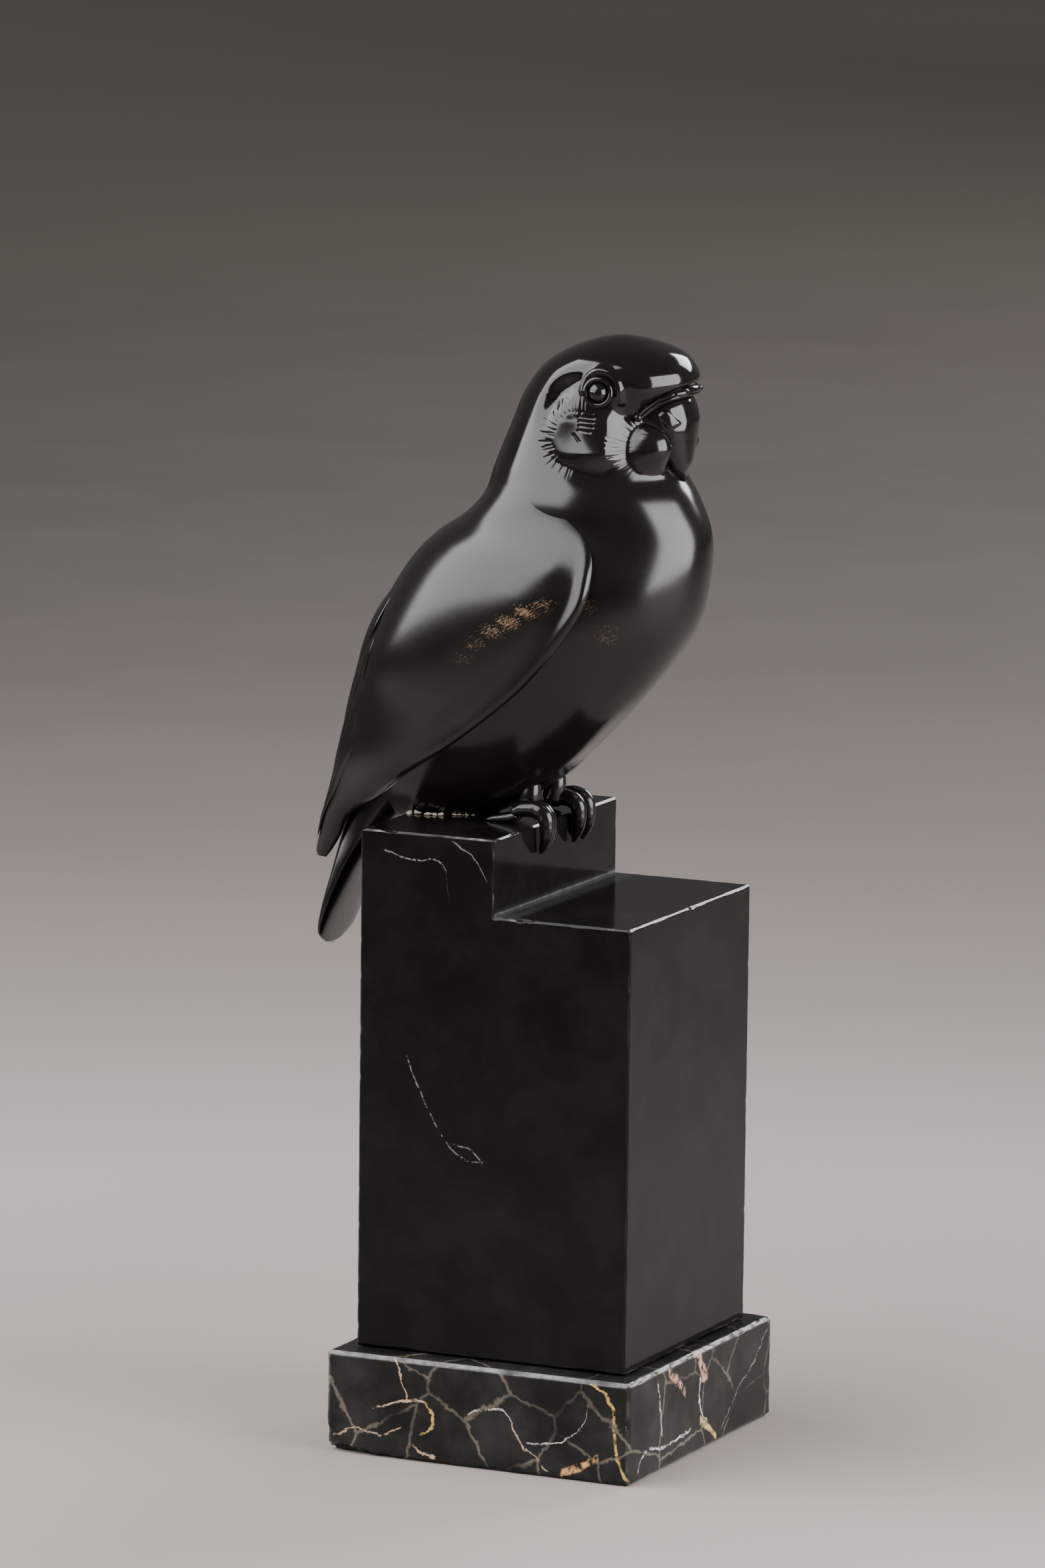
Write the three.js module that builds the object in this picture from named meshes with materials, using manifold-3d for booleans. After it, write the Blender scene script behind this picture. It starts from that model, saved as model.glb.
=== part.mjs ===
// A cast bronze parrot perched on a stepped block of black stone, on a slab of veined marble.
// Millimetres, +Z up, +X the way the bird faces, +Y its left side.
// The origin is the centre of the slab's underside.

import * as THREE from 'three';
import { mergeVertices } from 'three/addons/utils/BufferGeometryUtils.js';
import Module from 'manifold-3d';

const wasm = await Module();
wasm.setup();

// Marble slab
const slabDepth = 96.6;
const slabWidth = 102.3;
const slabHeight = 30;
const slabArris = 1;
const slabCorner = 0.8;

// Chipped lower edge of the slab, on its right side at the back
const chipLength = 24;
const chipHeight = 2.2;
const chipReach = 3.4;
const chipLean = 0.35;
const cornerChip = 5;

// The flakes of that edge: share of its length, and of its height and reach
const flakes = [[0.32, 1], [0.66, 0.75], [1, 0.45]];

// Stone block with one step, and the bed of mastic under it
const blockDepth = 85.6;
const blockWidth = 85.6;
const blockHeight = 152.6;
const stepRise = 22.5;
const treadDepth = 43.3;
const blockArris = 0.5;
const stepFillet = 1.5;
const bedGap = 0.3;

// Bird: its height over the perch, and the play between the casting and the stone
const birdHeight = 143.1;
const seatGap = 0.3;

// Where the perch edge of the block lies: everything of the bird is measured from it
const blockFoot = slabHeight + bedGap;
const perchHeight = blockFoot + blockHeight;
const blockFront = blockDepth / 2;
const riserFace = blockFront - treadDepth;

// The bird's own measures are written for a bird this high and follow its height
const drawnHeight = 143.1;
const scale = birdHeight / drawnHeight;
const turn = Math.PI / 180;

// Body and head: front and back points of the side view, and the width as a share of the depth
const crown = [17.7, 143.1];
const vent = [-56, -1.5];
const bodyStations = [
  { front: [28.4, 141.1], back: [6.3, 139.5], width: 1.0 },
  { front: [38.0, 136.7], back: [-3.1, 133.4], width: 0.93 },
  { front: [42.3, 130.5], back: [-8.9, 125.1], width: 0.85 },
  { front: [35.2, 121.5], back: [-12.5, 117.7], width: 0.91 },
  { front: [37.4, 104.6], back: [-19.1, 103.2], width: 0.83 },
  { front: [42.2, 96.2], back: [-21.7, 95.9], width: 0.79 },
  { front: [46.6, 85.1], back: [-27.4, 89.2], width: 0.77 },
  { front: [45.4, 69.7], back: [-36.2, 83.0], width: 0.755 },
  { front: [41.1, 55.9], back: [-44.2, 74.9], width: 0.75 },
  { front: [21.6, 33.2], back: [-56.2, 54.3], width: 0.76 },
  { front: [-0.6, 11.4], back: [-61.5, 34.3], width: 0.77 },
  { front: [-27.3, -2.4], back: [-61.5, 15.1], width: 0.74 },
];

// Wing: how far its front lip reaches round the body, in degrees from the back, by station
const wingStart = 5.9;
const wingEnd = 11.5;
const wingLip = [
  [5.9, 78], [6.6, 96], [7.2, 108], [7.7, 114], [8.3, 117], [9.1, 116], [9.6, 115.5],
  [10.1, 111.5], [10.7, 104], [11.1, 97.5], [11.5, 92],
];
const wingRear = 15;
const wingRearSpread = 30;
const wingBuried = -3;

// How proud the wing stands of the body, from its rear edge (0) to its lip (1)
const wingCover = [
  [0, 0.2], [0.15, 1.1], [0.35, 1.8], [0.55, 2.1], [0.75, 2.2], [0.9, 2.2], [0.96, 2.9], [1, 1.4],
];

// Tip of the folded wing beyond the body: rear edge, lip edge and half thickness
const wingTip = [
  { rear: [-51, -12, 47], lip: [-8, -23, 31], half: 2.6 },
  { rear: [-58.6, -10.5, 33], lip: [-24, -26.4, 21.4], half: 4.8 },
  { rear: [-63.2, -10, 18], lip: [-38.5, -23.4, 12.6], half: 5 },
  { rear: [-66.6, -9.6, 6], lip: [-49.4, -17.6, 5], half: 4 },
  { rear: [-69.8, -9.2, -3.4], lip: [-59.9, -13.8, -1.2], half: 2.7 },
  { rear: [-72, -9, -10], lip: [-66.2, -11.6, -7], half: 1.9 },
  { rear: [-73, -8.8, -14.2], lip: [-70.8, -9.6, -12.4], half: 0.8 },
];

// Flight feathers stacked along the rear of the wing tip: how far down it each one ends
const featherEnds = [0.2, 0.35, 0.53, 0.82];
const featherSpan = 52;
const featherHalf = 1.6;
const featherLift = 1.2;

// Tail: back line, underside and half width of the side view
const tail = [
  { back: [-50, 30], under: [-38, 20], half: 9 },
  { back: [-61, 12], under: [-45, 3], half: 10 },
  { back: [-65.6, -6], under: [-54, -8], half: 11 },
  { back: [-68, -18], under: [-60.8, -18.5], half: 12.4 },
  { back: [-70.6, -30], under: [-66.6, -31], half: 13.6 },
  { back: [-72, -37.5], under: [-69.8, -38.5], half: 13 },
  { back: [-72.4, -41.5], under: [-71.2, -42], half: 9.5 },
];
const tailTip = [-72, -43.4];
const tailRoot = [-46, 26];
const tailSquareness = 0.7;

// Beak: ridge and underside of the side view, and half width
const beak = [
  { back: [30, 128.2], under: [24.7, 114], half: 12.6 },
  { back: [39.6, 126.8], under: [29, 111.5], half: 11.4 },
  { back: [43.1, 120.3], under: [31.6, 108], half: 9.2 },
  { back: [43.1, 113.6], under: [34, 105.4], half: 6.6 },
  { back: [41.8, 107.4], under: [35.6, 103], half: 4 },
];
const beakRoot = [22, 121];
const beakTip = [39, 100.6];

// Cere: the fleshy band over the root of the beak, and the knob at each corner of the mouth
const cereArch = [[28, 15.6, 120.6], [34.6, 12, 124.8], [40, 6.4, 127.4], [42, 0, 128.2]];
const cereRadius = 1.3;
const knobRadius = 1.5;

// Eye
const eyePlace = [22.2, 129.2];
const eyeRadius = 2.9;
const eyeSunk = 0.9;
const lidProud = 1.1;
const lidRadius = 3.9;
const lidThickness = 0.75;

// Cheek and chin swellings
const cheekPlace = [30.6, 12.4, 111.4];
const cheekSize = [5.6, 6.4, 6.2];
const chinPlace = [36.4, 0, 101];
const chinSize = [3, 3.6, 2.4];

// Fans of engraved strokes round the ear and the cheek: centre and angles in the side view
const earFan = { place: [17.4, 114.6], from: 70, to: 290, count: 17, inner: 8.6, outer: 12.6 };
const cheekFan = { place: [32, 112], from: 105, to: 250, count: 10, inner: 7.2, outer: 10.4 };
const strokeHalf = 0.42;
const strokeDepth = 0.7;

// Thighs, legs and toes: two toes of each foot hang over the perch edge, two lie behind it
const legSpread = 12.5;
const thighPlace = [-3.6, 10.4, 19];
const thighSize = [9, 7.6, 9.6];
const legPath = [[-4, 17, 3.6], [-4.4, 9, 4.2], [-5, 4, 3.4]];
const toeSpread = 3.1;
const toePath = [
  [-8, 2.8, 1.6], [-4.5, 4.4, 2.4], [-0.5, 4.6, 2.5], [2.4, 2.9, 2.4],
  [3.1, -0.8, 2.1], [2.8, -4, 1.7], [1.9, -6.6, 1.1],
];
const toeTip = [1.2, -8.6];
const hindToePath = [[-6, 3, 1.8], [-10, 2.4, 1.9], [-14, 1.8, 1.6], [-17, 1.2, 1]];
const hindToeTip = [-19, 0.6];

// Turns rings of points, closed by an end point at each end, into a solid.
function solidFromRings(start, rings, end) {
  const around = rings[0].length;
  const points = [start, ...rings.flat(), end];
  const last = points.length - 1;
  const faces = [];
  for (let i = 0; i < around; i++) {
    const next = (i + 1) % around;
    faces.push([0, 1 + next, 1 + i]);
    for (let k = 0; k + 1 < rings.length; k++) {
      const here = 1 + k * around;
      const there = here + around;
      faces.push([here + i, here + next, there + next], [here + i, there + next, there + i]);
    }
    const edge = 1 + (rings.length - 1) * around;
    faces.push([last, edge + i, edge + next]);
  }
  const volume = faces.reduce((sum, [a, b, c]) =>
    sum + points[a].dot(points[b].clone().cross(points[c])), 0);
  const outward = volume > 0 ? faces : faces.map(([a, b, c]) => [a, c, b]);
  return toSolid(points.flatMap((p) => p.toArray()), outward.flat());
}

function toSolid(positions, indices) {
  return new wasm.Manifold(new wasm.Mesh({
    numProp: 3,
    vertProperties: new Float32Array(positions),
    triVerts: new Uint32Array(indices),
  }));
}

// Takes a closed three.js geometry into the boolean library.
function solidFromGeometry(geometry) {
  const bare = geometry.clone();
  bare.deleteAttribute('normal');
  bare.deleteAttribute('uv');
  const merged = mergeVertices(bare, 1e-4);
  return toSolid(merged.attributes.position.array, merged.index.array);
}

function geometryFromSolid(solid) {
  const { vertProperties, triVerts } = solid.getMesh();
  const geometry = new THREE.BufferGeometry();
  geometry.setAttribute('position', new THREE.BufferAttribute(vertProperties, 3));
  geometry.setIndex(new THREE.BufferAttribute(triVerts, 1));
  geometry.computeVertexNormals();
  return geometry;
}

// Smooth value through evenly spaced numbers, at a place counted in steps from the first.
function smooth(values, place) {
  const k = Math.min(Math.max(Math.floor(place), 0), values.length - 2);
  const w = place - k;
  const at = (i) => values[Math.min(Math.max(i, 0), values.length - 1)];
  const rise = (at(k + 1) - at(k - 1)) / 2;
  const fall = (at(k + 2) - at(k)) / 2;
  const step = at(k + 1) - at(k);
  return at(k) + rise * w + (3 * step - 2 * rise - fall) * w ** 2 + (rise + fall - 2 * step) * w ** 3;
}

// Straight interpolation in a list of [place, value] pairs.
function between(pairs, place) {
  const k = Math.max(1, pairs.findIndex(([p]) => p >= place));
  const [p0, v0] = pairs[k - 1];
  const [p1, v1] = pairs[k];
  return v0 + (v1 - v0) * (place - p0) / (p1 - p0);
}

const sideView = ([x, z]) => new THREE.Vector3(x, 0, z);
const bodyOutline = new THREE.CatmullRomCurve3([
  sideView(crown),
  ...bodyStations.map((s) => sideView(s.front)),
  sideView(vent),
  ...bodyStations.map((s) => sideView(s.back)).reverse(),
], true, 'centripetal');
const bodyEnd = bodyStations.length + 1;
const bodyWidths = bodyStations.map((s) => s.width);

// Middle, depth vector and half width of the body's section at a station.
function bodySection(station) {
  const front = bodyOutline.getPoint(station / bodyEnd / 2);
  const back = bodyOutline.getPoint(1 - station / bodyEnd / 2);
  const depth = front.clone().sub(back).multiplyScalar(0.5);
  const half = smooth(bodyWidths, station - 1) * depth.length();
  return { middle: front.add(back).multiplyScalar(0.5), depth, half };
}

// Point of the body, at an angle in degrees from the back line, raised by proud.
function bodyPoint(station, angle, proud = 0) {
  const { middle, depth, half } = bodySection(station);
  const grown = depth.clone().setLength(depth.length() + proud);
  const point = middle.addScaledVector(grown, -Math.cos(angle * turn));
  point.y = (half + proud) * Math.sin(angle * turn);
  return point;
}

// Point of the body's side seen at (x, z) of the side view.
function bodySide([x, z], side, proud = 0) {
  let low = 0.2;
  let high = bodyEnd - 0.2;
  for (let i = 0; i < 30; i++) {
    const { middle, depth } = bodySection((low + high) / 2);
    const above = depth.x * (z - middle.z) - depth.z * (x - middle.x) > 0;
    if (above) high = (low + high) / 2;
    else low = (low + high) / 2;
  }
  const { middle, depth, half } = bodySection(low);
  const share = ((x - middle.x) * depth.x + (z - middle.z) * depth.z) / depth.lengthSq();
  const y = half * Math.sqrt(Math.max(0, 1 - share * share)) + proud;
  return new THREE.Vector3(x, side * y, z);
}

function makeBody() {
  const places = [0.25, 0.5, 0.75];
  for (let s = 5; s < 5 * (bodyEnd - 1); s += 2) places.push(s / 5);
  places.push(bodyEnd - 1, bodyEnd - 0.6, bodyEnd - 0.25);
  const around = 28;
  const rings = places.map((place) => {
    const ring = [];
    for (let i = 0; i < around; i++) ring.push(bodyPoint(place, i * 360 / around));
    return ring;
  });
  return solidFromRings(sideView(crown), rings, sideView(vent));
}

// Shell of the folded wing that lies on the body, with a raised lip along its front edge.
function makeWing(side) {
  const lengthSteps = 14;
  const rings = [];
  for (let i = 0; i <= lengthSteps; i++) {
    const grow = i / lengthSteps;
    const station = wingStart + (wingEnd - wingStart) * grow;
    const lip = between(wingLip, station);
    const rear = wingRear + wingRearSpread * (1 - Math.min(1, grow * 2.5)) ** 2;
    const full = Math.min(1, grow * 4.5);
    const outer = wingCover.map(([share, proud]) =>
      bodyPoint(station, rear + (lip - rear) * share, (proud + 1) * full - 1));
    const inner = wingCover.map(([share]) =>
      bodyPoint(station, rear + (lip - rear) * share, wingBuried)).reverse();
    rings.push([...outer, ...inner].map((p) => p.setY(p.y * side)));
  }
  const centre = (ring) => ring.reduce((sum, p) => sum.add(p), new THREE.Vector3())
    .divideScalar(ring.length);
  return solidFromRings(centre(rings[0]), rings, centre(rings[rings.length - 1]));
}

// Tapering form between two edge curves, with an elliptical section.
function blade(curveA, curveB, halves, steps, around, start, end) {
  const rings = [];
  for (let i = 0; i <= steps; i++) {
    const ring = [];
    for (let k = 0; k < around; k++) {
      ring.push(bladePoint(curveA, curveB, halves, i / steps, 2 * Math.PI * k / around));
    }
    rings.push(ring);
  }
  const middleAt = (w) => curveA.getPoint(w).lerp(curveB.getPoint(w), 0.5);
  return solidFromRings(start ?? middleAt(0), rings, end ?? middleAt(1));
}

// Point of such a form: how far along it, and the angle round its section from the second edge.
function bladePoint(curveA, curveB, halves, w, angle, proud = 0) {
  const middleAt = (v) => curveA.getPoint(v).lerp(curveB.getPoint(v), 0.5);
  const across = curveB.getPoint(w).sub(curveA.getPoint(w)).multiplyScalar(0.5);
  const along = middleAt(Math.min(1, w + 0.01)).sub(middleAt(Math.max(0, w - 0.01)));
  const thick = along.cross(across).setLength(smooth(halves, w * (halves.length - 1)) + proud);
  return middleAt(w).addScaledVector(across, Math.cos(angle)).addScaledVector(thick, Math.sin(angle));
}

// Rear and lip edges of the wing tip on one side.
function wingTipEdges(side) {
  const curve = (edge) => new THREE.CatmullRomCurve3(
    wingTip.map(({ [edge]: [x, y, z] }) => new THREE.Vector3(x, -side * y, z)));
  return { rear: curve('rear'), lip: curve('lip') };
}

const wingTipHalves = wingTip.map((s) => s.half);

function makeWingTip(side) {
  const { rear, lip } = wingTipEdges(side);
  return blade(rear, lip, wingTipHalves, 12, 11);
}

// Flight feathers lie over the rear of the wing tip, the shorter ones on top.
function makeFeathers(side) {
  const { rear, lip } = wingTipEdges(side);
  const places = [0, 0.4, 0.75, 0.96];
  return featherEnds.map((reach, k) => {
    const lift = featherLift * (1 - 0.2 * k);
    const edge = (angle) => new THREE.CatmullRomCurve3(places.map((w) => {
      const turned = 180 - angle * (1 - w ** 3) * (1 + 0.12 * k);
      return bladePoint(rear, lip, wingTipHalves, w * reach, -side * turned * turn, lift * w);
    }));
    const halves = [featherHalf, featherHalf, featherHalf, featherHalf * 0.6];
    const end = bladePoint(rear, lip, wingTipHalves, reach, Math.PI, lift);
    return blade(edge(0), edge(featherSpan), halves, 5, 7, undefined, end.setX(end.x - lift));
  });
}

// Form lying in the middle plane, drawn by its two edges in the side view.
function middleForm(stations, start, end, steps, around, squareness) {
  const backs = new THREE.CatmullRomCurve3(stations.map((s) => sideView(s.back)));
  const unders = new THREE.CatmullRomCurve3(stations.map((s) => sideView(s.under)));
  const halves = stations.map((s) => s.half);
  const boxed = (value) => Math.sign(value) * Math.abs(value) ** squareness;
  const rings = [];
  for (let i = 0; i <= steps; i++) {
    const w = i / steps;
    const back = backs.getPoint(w);
    const under = unders.getPoint(w);
    const depth = under.clone().sub(back).multiplyScalar(0.5);
    const middle = back.add(under).multiplyScalar(0.5);
    const half = smooth(halves, w * (halves.length - 1));
    const ring = [];
    for (let k = 0; k < around; k++) {
      const angle = 2 * Math.PI * k / around;
      const point = middle.clone().addScaledVector(depth, -boxed(Math.cos(angle)));
      ring.push(point.setY(half * boxed(Math.sin(angle))));
    }
    rings.push(ring);
  }
  return solidFromRings(start, rings, end);
}

function makeTail() {
  return middleForm(tail, sideView(tailRoot), sideView(tailTip), 14, 16, tailSquareness);
}

function makeBeak() {
  return middleForm(beak, sideView(beakRoot), sideView(beakTip), 12, 18, 1);
}

// Round limb along a path, closed by a point at each end.
function limb(points, radii, steps, around, end) {
  const path = new THREE.CatmullRomCurve3(points);
  const frames = path.computeFrenetFrames(steps, false);
  const rings = [];
  for (let i = 0; i <= steps; i++) {
    const middle = path.getPointAt(i / steps);
    const radius = smooth(radii, i / steps * (radii.length - 1));
    const ring = [];
    for (let k = 0; k < around; k++) {
      const angle = 2 * Math.PI * k / around;
      ring.push(middle.clone().addScaledVector(frames.normals[i], radius * Math.cos(angle))
        .addScaledVector(frames.binormals[i], radius * Math.sin(angle)));
    }
    rings.push(ring);
  }
  return solidFromRings(path.getPointAt(0), rings, end ?? path.getPointAt(1));
}

function makeCere() {
  const half = cereArch.map(([x, y, z]) => new THREE.Vector3(x, y, z));
  const mirrored = half.slice(0, -1).reverse().map((p) => new THREE.Vector3(p.x, -p.y, p.z));
  return limb([...half, ...mirrored], [cereRadius, cereRadius], 14, 8);
}

// Smooth swelling or ball, stretched to three half sizes.
function makeBall([x, y, z], [sizeX, sizeY, sizeZ], around = 11) {
  const ball = new THREE.SphereGeometry(1, around, Math.round(around * 0.7));
  return solidFromGeometry(ball.scale(sizeX, sizeY, sizeZ).translate(x, y, z));
}

// Direction that the body's side faces at (x, z) of the side view.
function sideNormal([x, z], side) {
  const step = 0.5;
  const slope = (dx, dz) => bodySide([x + dx, z + dz], 1).y - bodySide([x - dx, z - dz], 1).y;
  return new THREE.Vector3(-slope(step, 0), side * 2 * step, -slope(0, step)).normalize();
}

function makeEye(side) {
  const place = bodySide(eyePlace, side, -eyeSunk);
  const facing = new THREE.Quaternion()
    .setFromUnitVectors(new THREE.Vector3(0, 0, 1), sideNormal(eyePlace, side));
  const lid = new THREE.TorusGeometry(lidRadius, lidThickness, 5, 14);
  lid.applyQuaternion(facing).translate(place.x, place.y + side * lidProud, place.z);
  const ball = makeBall(place.toArray(), [eyeRadius, eyeRadius, eyeRadius], 10);
  return ball.add(solidFromGeometry(lid));
}

// Fine engraved strokes that fan out round a place on the side of the head.
function makeStrokes(fan, side) {
  const strokes = [];
  for (let i = 0; i < fan.count; i++) {
    const angle = (fan.from + (fan.to - fan.from) * i / (fan.count - 1)) * turn;
    const at = (radius) => bodySide([fan.place[0] + radius * Math.cos(angle),
      fan.place[1] + radius * Math.sin(angle)], side);
    const inner = at(fan.inner);
    const outer = at(fan.outer);
    const middle = inner.clone().add(outer).multiplyScalar(0.5);
    const along = outer.clone().sub(inner);
    const facing = sideNormal([middle.x, middle.z], side);
    const beside = facing.clone().cross(along).normalize();
    const frame = new THREE.Matrix4().makeBasis(along.clone().normalize(), beside, facing);
    const cut = new THREE.OctahedronGeometry(1);
    cut.scale(along.length() / 2, strokeHalf, strokeDepth).applyMatrix4(frame);
    strokes.push(solidFromGeometry(cut.translate(middle.x, middle.y, middle.z)));
  }
  return strokes;
}

function makeFoot(side) {
  const placed = (path, spread) => path.map(([x, z]) => new THREE.Vector3(x, side * spread, z));
  const radii = (path) => path.map(([, , radius]) => radius);
  const toes = [-1, 1].flatMap((way) => {
    const spread = legSpread + way * toeSpread;
    return [
      limb(placed(toePath, spread), radii(toePath), 9, 7, placed([toeTip], spread)[0]),
      limb(placed(hindToePath, spread), radii(hindToePath), 4, 7, placed([hindToeTip], spread)[0]),
    ];
  });
  const leg = limb(placed(legPath, legSpread), radii(legPath), 4, 9);
  const thigh = makeBall([thighPlace[0], side * thighPlace[1], thighPlace[2]], thighSize, 12);
  return toes.reduce((sum, toe) => sum.add(toe), leg.add(thigh));
}

// Room that the stone takes, with the play round it, seen from the bird's own origin.
function makePerchRoom() {
  const above = seatGap / scale;
  const rise = stepRise / scale;
  const behind = (blockDepth - treadDepth) / scale + above;
  const width = 3 * blockWidth / scale;
  const depth = 2 * blockHeight / scale;
  const upper = new THREE.BoxGeometry(behind + above, width, depth);
  upper.translate((above - behind) / 2, 0, above - depth / 2);
  const lower = new THREE.BoxGeometry(behind + treadDepth / scale + above, width, depth);
  lower.translate((treadDepth / scale + above - behind) / 2, 0, above - rise - depth / 2);
  return solidFromGeometry(upper).add(solidFromGeometry(lower));
}

function makeBird() {
  const forms = [makeBody(), makeTail(), makeBeak(), makeCere(), makeBall(chinPlace, chinSize)];
  const strokes = [];
  for (const side of [-1, 1]) {
    const [cheekX, cheekY, cheekZ] = cheekPlace;
    const [knobX, knobY, knobZ] = cereArch[0];
    forms.push(makeWing(side), makeWingTip(side), ...makeFeathers(side), makeFoot(side));
    forms.push(makeEye(side), makeBall([cheekX, side * cheekY, cheekZ], cheekSize));
    forms.push(makeBall([knobX, side * knobY, knobZ], [knobRadius, knobRadius, knobRadius], 8));
    strokes.push(...makeStrokes(earFan, side), ...makeStrokes(cheekFan, side));
  }
  const whole = forms.reduce((sum, form) => sum.add(form));
  const engraved = strokes.reduce((rest, stroke) => rest.subtract(stroke), whole);
  const seated = engraved.subtract(makePerchRoom());
  const geometry = geometryFromSolid(seated);
  return geometry.scale(scale, scale, scale).translate(riserFace, 0, perchHeight);
}

// Upright stack of eight-cornered outlines: a slab with its arrises taken off.
function makeSlab() {
  const levels = [[0, 0], [slabHeight - slabArris, 0], [slabHeight, slabArris]];
  const rings = levels.map(([z, inset]) => {
    const x = slabDepth / 2 - inset;
    const y = slabWidth / 2 - inset;
    const c = slabCorner;
    const corners = [[x, y - c], [x - c, y], [c - x, y], [-x, y - c], [-x, c - y], [c - x, -y],
      [x - c, -y], [x, c - y]];
    return corners.map(([px, py]) => new THREE.Vector3(px, py, z));
  });
  const slab = solidFromRings(new THREE.Vector3(), rings, new THREE.Vector3(0, 0, slabHeight));
  const chips = makeChips();
  return geometryFromSolid(chips.reduce((rest, chip) => rest.subtract(chip), slab));
}

// Broken lower edge on the right side, in steps, and two worn corners.
function makeChips() {
  const backX = -slabDepth / 2;
  const sideY = -slabWidth / 2;
  const chips = flakes.map(([share, size]) => {
    const flake = new THREE.BoxGeometry(2 * chipLength * share, 2 * chipReach * size,
      2 * chipHeight * size);
    return flake.rotateX(-chipLean).translate(backX, sideY, 0);
  });
  const corner = new THREE.BoxGeometry(cornerChip, cornerChip, 4 * cornerChip);
  corner.rotateZ(Math.PI / 4).rotateX(chipLean).rotateY(chipLean);
  const corners = [corner.clone().translate(backX, sideY, 0),
    corner.clone().translate(-backX, -sideY, 0)];
  return [...chips, ...corners].map(solidFromGeometry);
}

// The step profile, extruded across the width, with small bevels on every arris.
function makeBlock() {
  const a = blockArris;
  const tread = blockHeight - stepRise;
  const xRiser = blockDepth - treadDepth;
  const x1 = blockDepth;
  const profile = new THREE.Shape();
  profile.moveTo(0, 0);
  profile.lineTo(x1, 0);
  profile.lineTo(x1, tread - a);
  profile.lineTo(x1 - a, tread);
  profile.lineTo(xRiser + stepFillet, tread);
  profile.absarc(xRiser + stepFillet, tread + stepFillet, stepFillet, -Math.PI / 2, -Math.PI, true);
  profile.lineTo(xRiser, blockHeight - a);
  profile.lineTo(xRiser - a, blockHeight);
  profile.lineTo(a, blockHeight);
  profile.lineTo(0, blockHeight - a);
  const bevel = { bevelThickness: a, bevelSize: a, bevelOffset: -a, bevelSegments: 1 };
  const geometry = new THREE.ExtrudeGeometry(profile,
    { depth: blockWidth - 2 * a, curveSegments: 5, ...bevel });
  geometry.rotateX(Math.PI / 2).translate(-blockDepth / 2, blockWidth / 2 - a, blockFoot);
  return geometryFromSolid(solidFromGeometry(geometry));
}

const bronze = new THREE.MeshStandardMaterial({ color: 0x17150f, roughness: 0.3, metalness: 0.85 });
const blackStone = new THREE.MeshStandardMaterial({ color: 0x100e0c, roughness: 0.22, metalness: 0 });
const marble = new THREE.MeshStandardMaterial({ color: 0x1a1816, roughness: 0.2, metalness: 0 });

function named(name, geometry, material) {
  const mesh = new THREE.Mesh(geometry, material);
  mesh.name = name;
  return mesh;
}

const sculpture = new THREE.Group();
sculpture.add(named('base_slab', makeSlab(), marble));
sculpture.add(named('stepped_block', makeBlock(), blackStone));
sculpture.add(named('parrot', makeBird(), bronze));

export default sculpture;
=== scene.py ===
"""Bronze parrot on a stepped block of black stone and a slab of veined marble.

Sizes are in millimetres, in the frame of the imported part: +Z up, +X the way the bird faces.
They become metres when a mesh is made. The bird is drawn from the edge of its perch.
"""

import logging
import math
from collections.abc import Sequence
from dataclasses import dataclass
from enum import Enum
from typing import Union

import bpy
import numpy as np
from mathutils import Matrix, Vector


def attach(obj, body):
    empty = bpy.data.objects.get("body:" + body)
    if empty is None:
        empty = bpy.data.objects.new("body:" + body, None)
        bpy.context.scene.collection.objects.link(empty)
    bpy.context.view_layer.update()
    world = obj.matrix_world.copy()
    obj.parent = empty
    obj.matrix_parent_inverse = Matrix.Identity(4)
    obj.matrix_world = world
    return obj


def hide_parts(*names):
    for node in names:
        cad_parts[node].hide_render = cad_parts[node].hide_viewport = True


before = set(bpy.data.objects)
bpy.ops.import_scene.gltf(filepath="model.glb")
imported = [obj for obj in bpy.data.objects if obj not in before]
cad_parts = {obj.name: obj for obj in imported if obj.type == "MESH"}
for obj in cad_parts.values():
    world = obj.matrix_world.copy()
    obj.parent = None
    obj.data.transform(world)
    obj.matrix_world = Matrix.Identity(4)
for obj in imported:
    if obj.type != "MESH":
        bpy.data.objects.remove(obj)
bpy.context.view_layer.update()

LOG = logging.getLogger("parrot")
MM = 0.001
Array = np.ndarray
Point = tuple[float, float, float]
Colour = tuple[float, float, float]
Flat = tuple[float, float]

# Sizes of the stones, as in the part's source
BLOCK_HALF = 42.8
BLOCK_FOOT = 30.3
PERCH_TOP = 182.9
TREAD_TOP = 160.4
RISER_X = -0.5
SLAB_HALF_X = 48.3
SLAB_HALF_Y = 51.15
SLAB_TOP = 30.0
PERCH = (RISER_X, 0.0, PERCH_TOP)
# Tolerance in millimetres where lengths are compared, and a length that stands for none
HAIR = 1e-6
NONE = 1e-12


class Slot(Enum):
    """Material slots of the record."""

    BRONZE = "bird_bronze"
    BLACK_STONE = "black_stone"
    MARBLE = "veined_marble"


class Side(Enum):
    """Sides of the bird, as the sign of y."""

    LEFT = 1
    RIGHT = -1


# Curves and fields


def smooth(values: Array | Sequence[float], place: Array | float) -> Array:
    """Run a smooth curve through evenly spaced values.

    Args:
        values: One number or one point per step.
        place: Where to read the curve, counted in steps from the first value.

    Returns:
        The value or point at each place.
    """
    known = np.asarray(values, float)
    last = len(known) - 1
    spot = np.clip(np.asarray(place, float), 0, last)
    k = np.minimum(spot.astype(int), last - 1)
    w = spot - k
    w = w.reshape(w.shape + (1,) * (known.ndim - 1))
    before, here, there, after = (known[np.clip(k + s, 0, last)] for s in (-1, 0, 1, 2))
    rise, fall, step = (there - before) / 2, (after - here) / 2, there - here
    return here + rise * w + (3 * step - 2 * rise - fall) * w**2 + (rise + fall - 2 * step) * w**3


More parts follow.
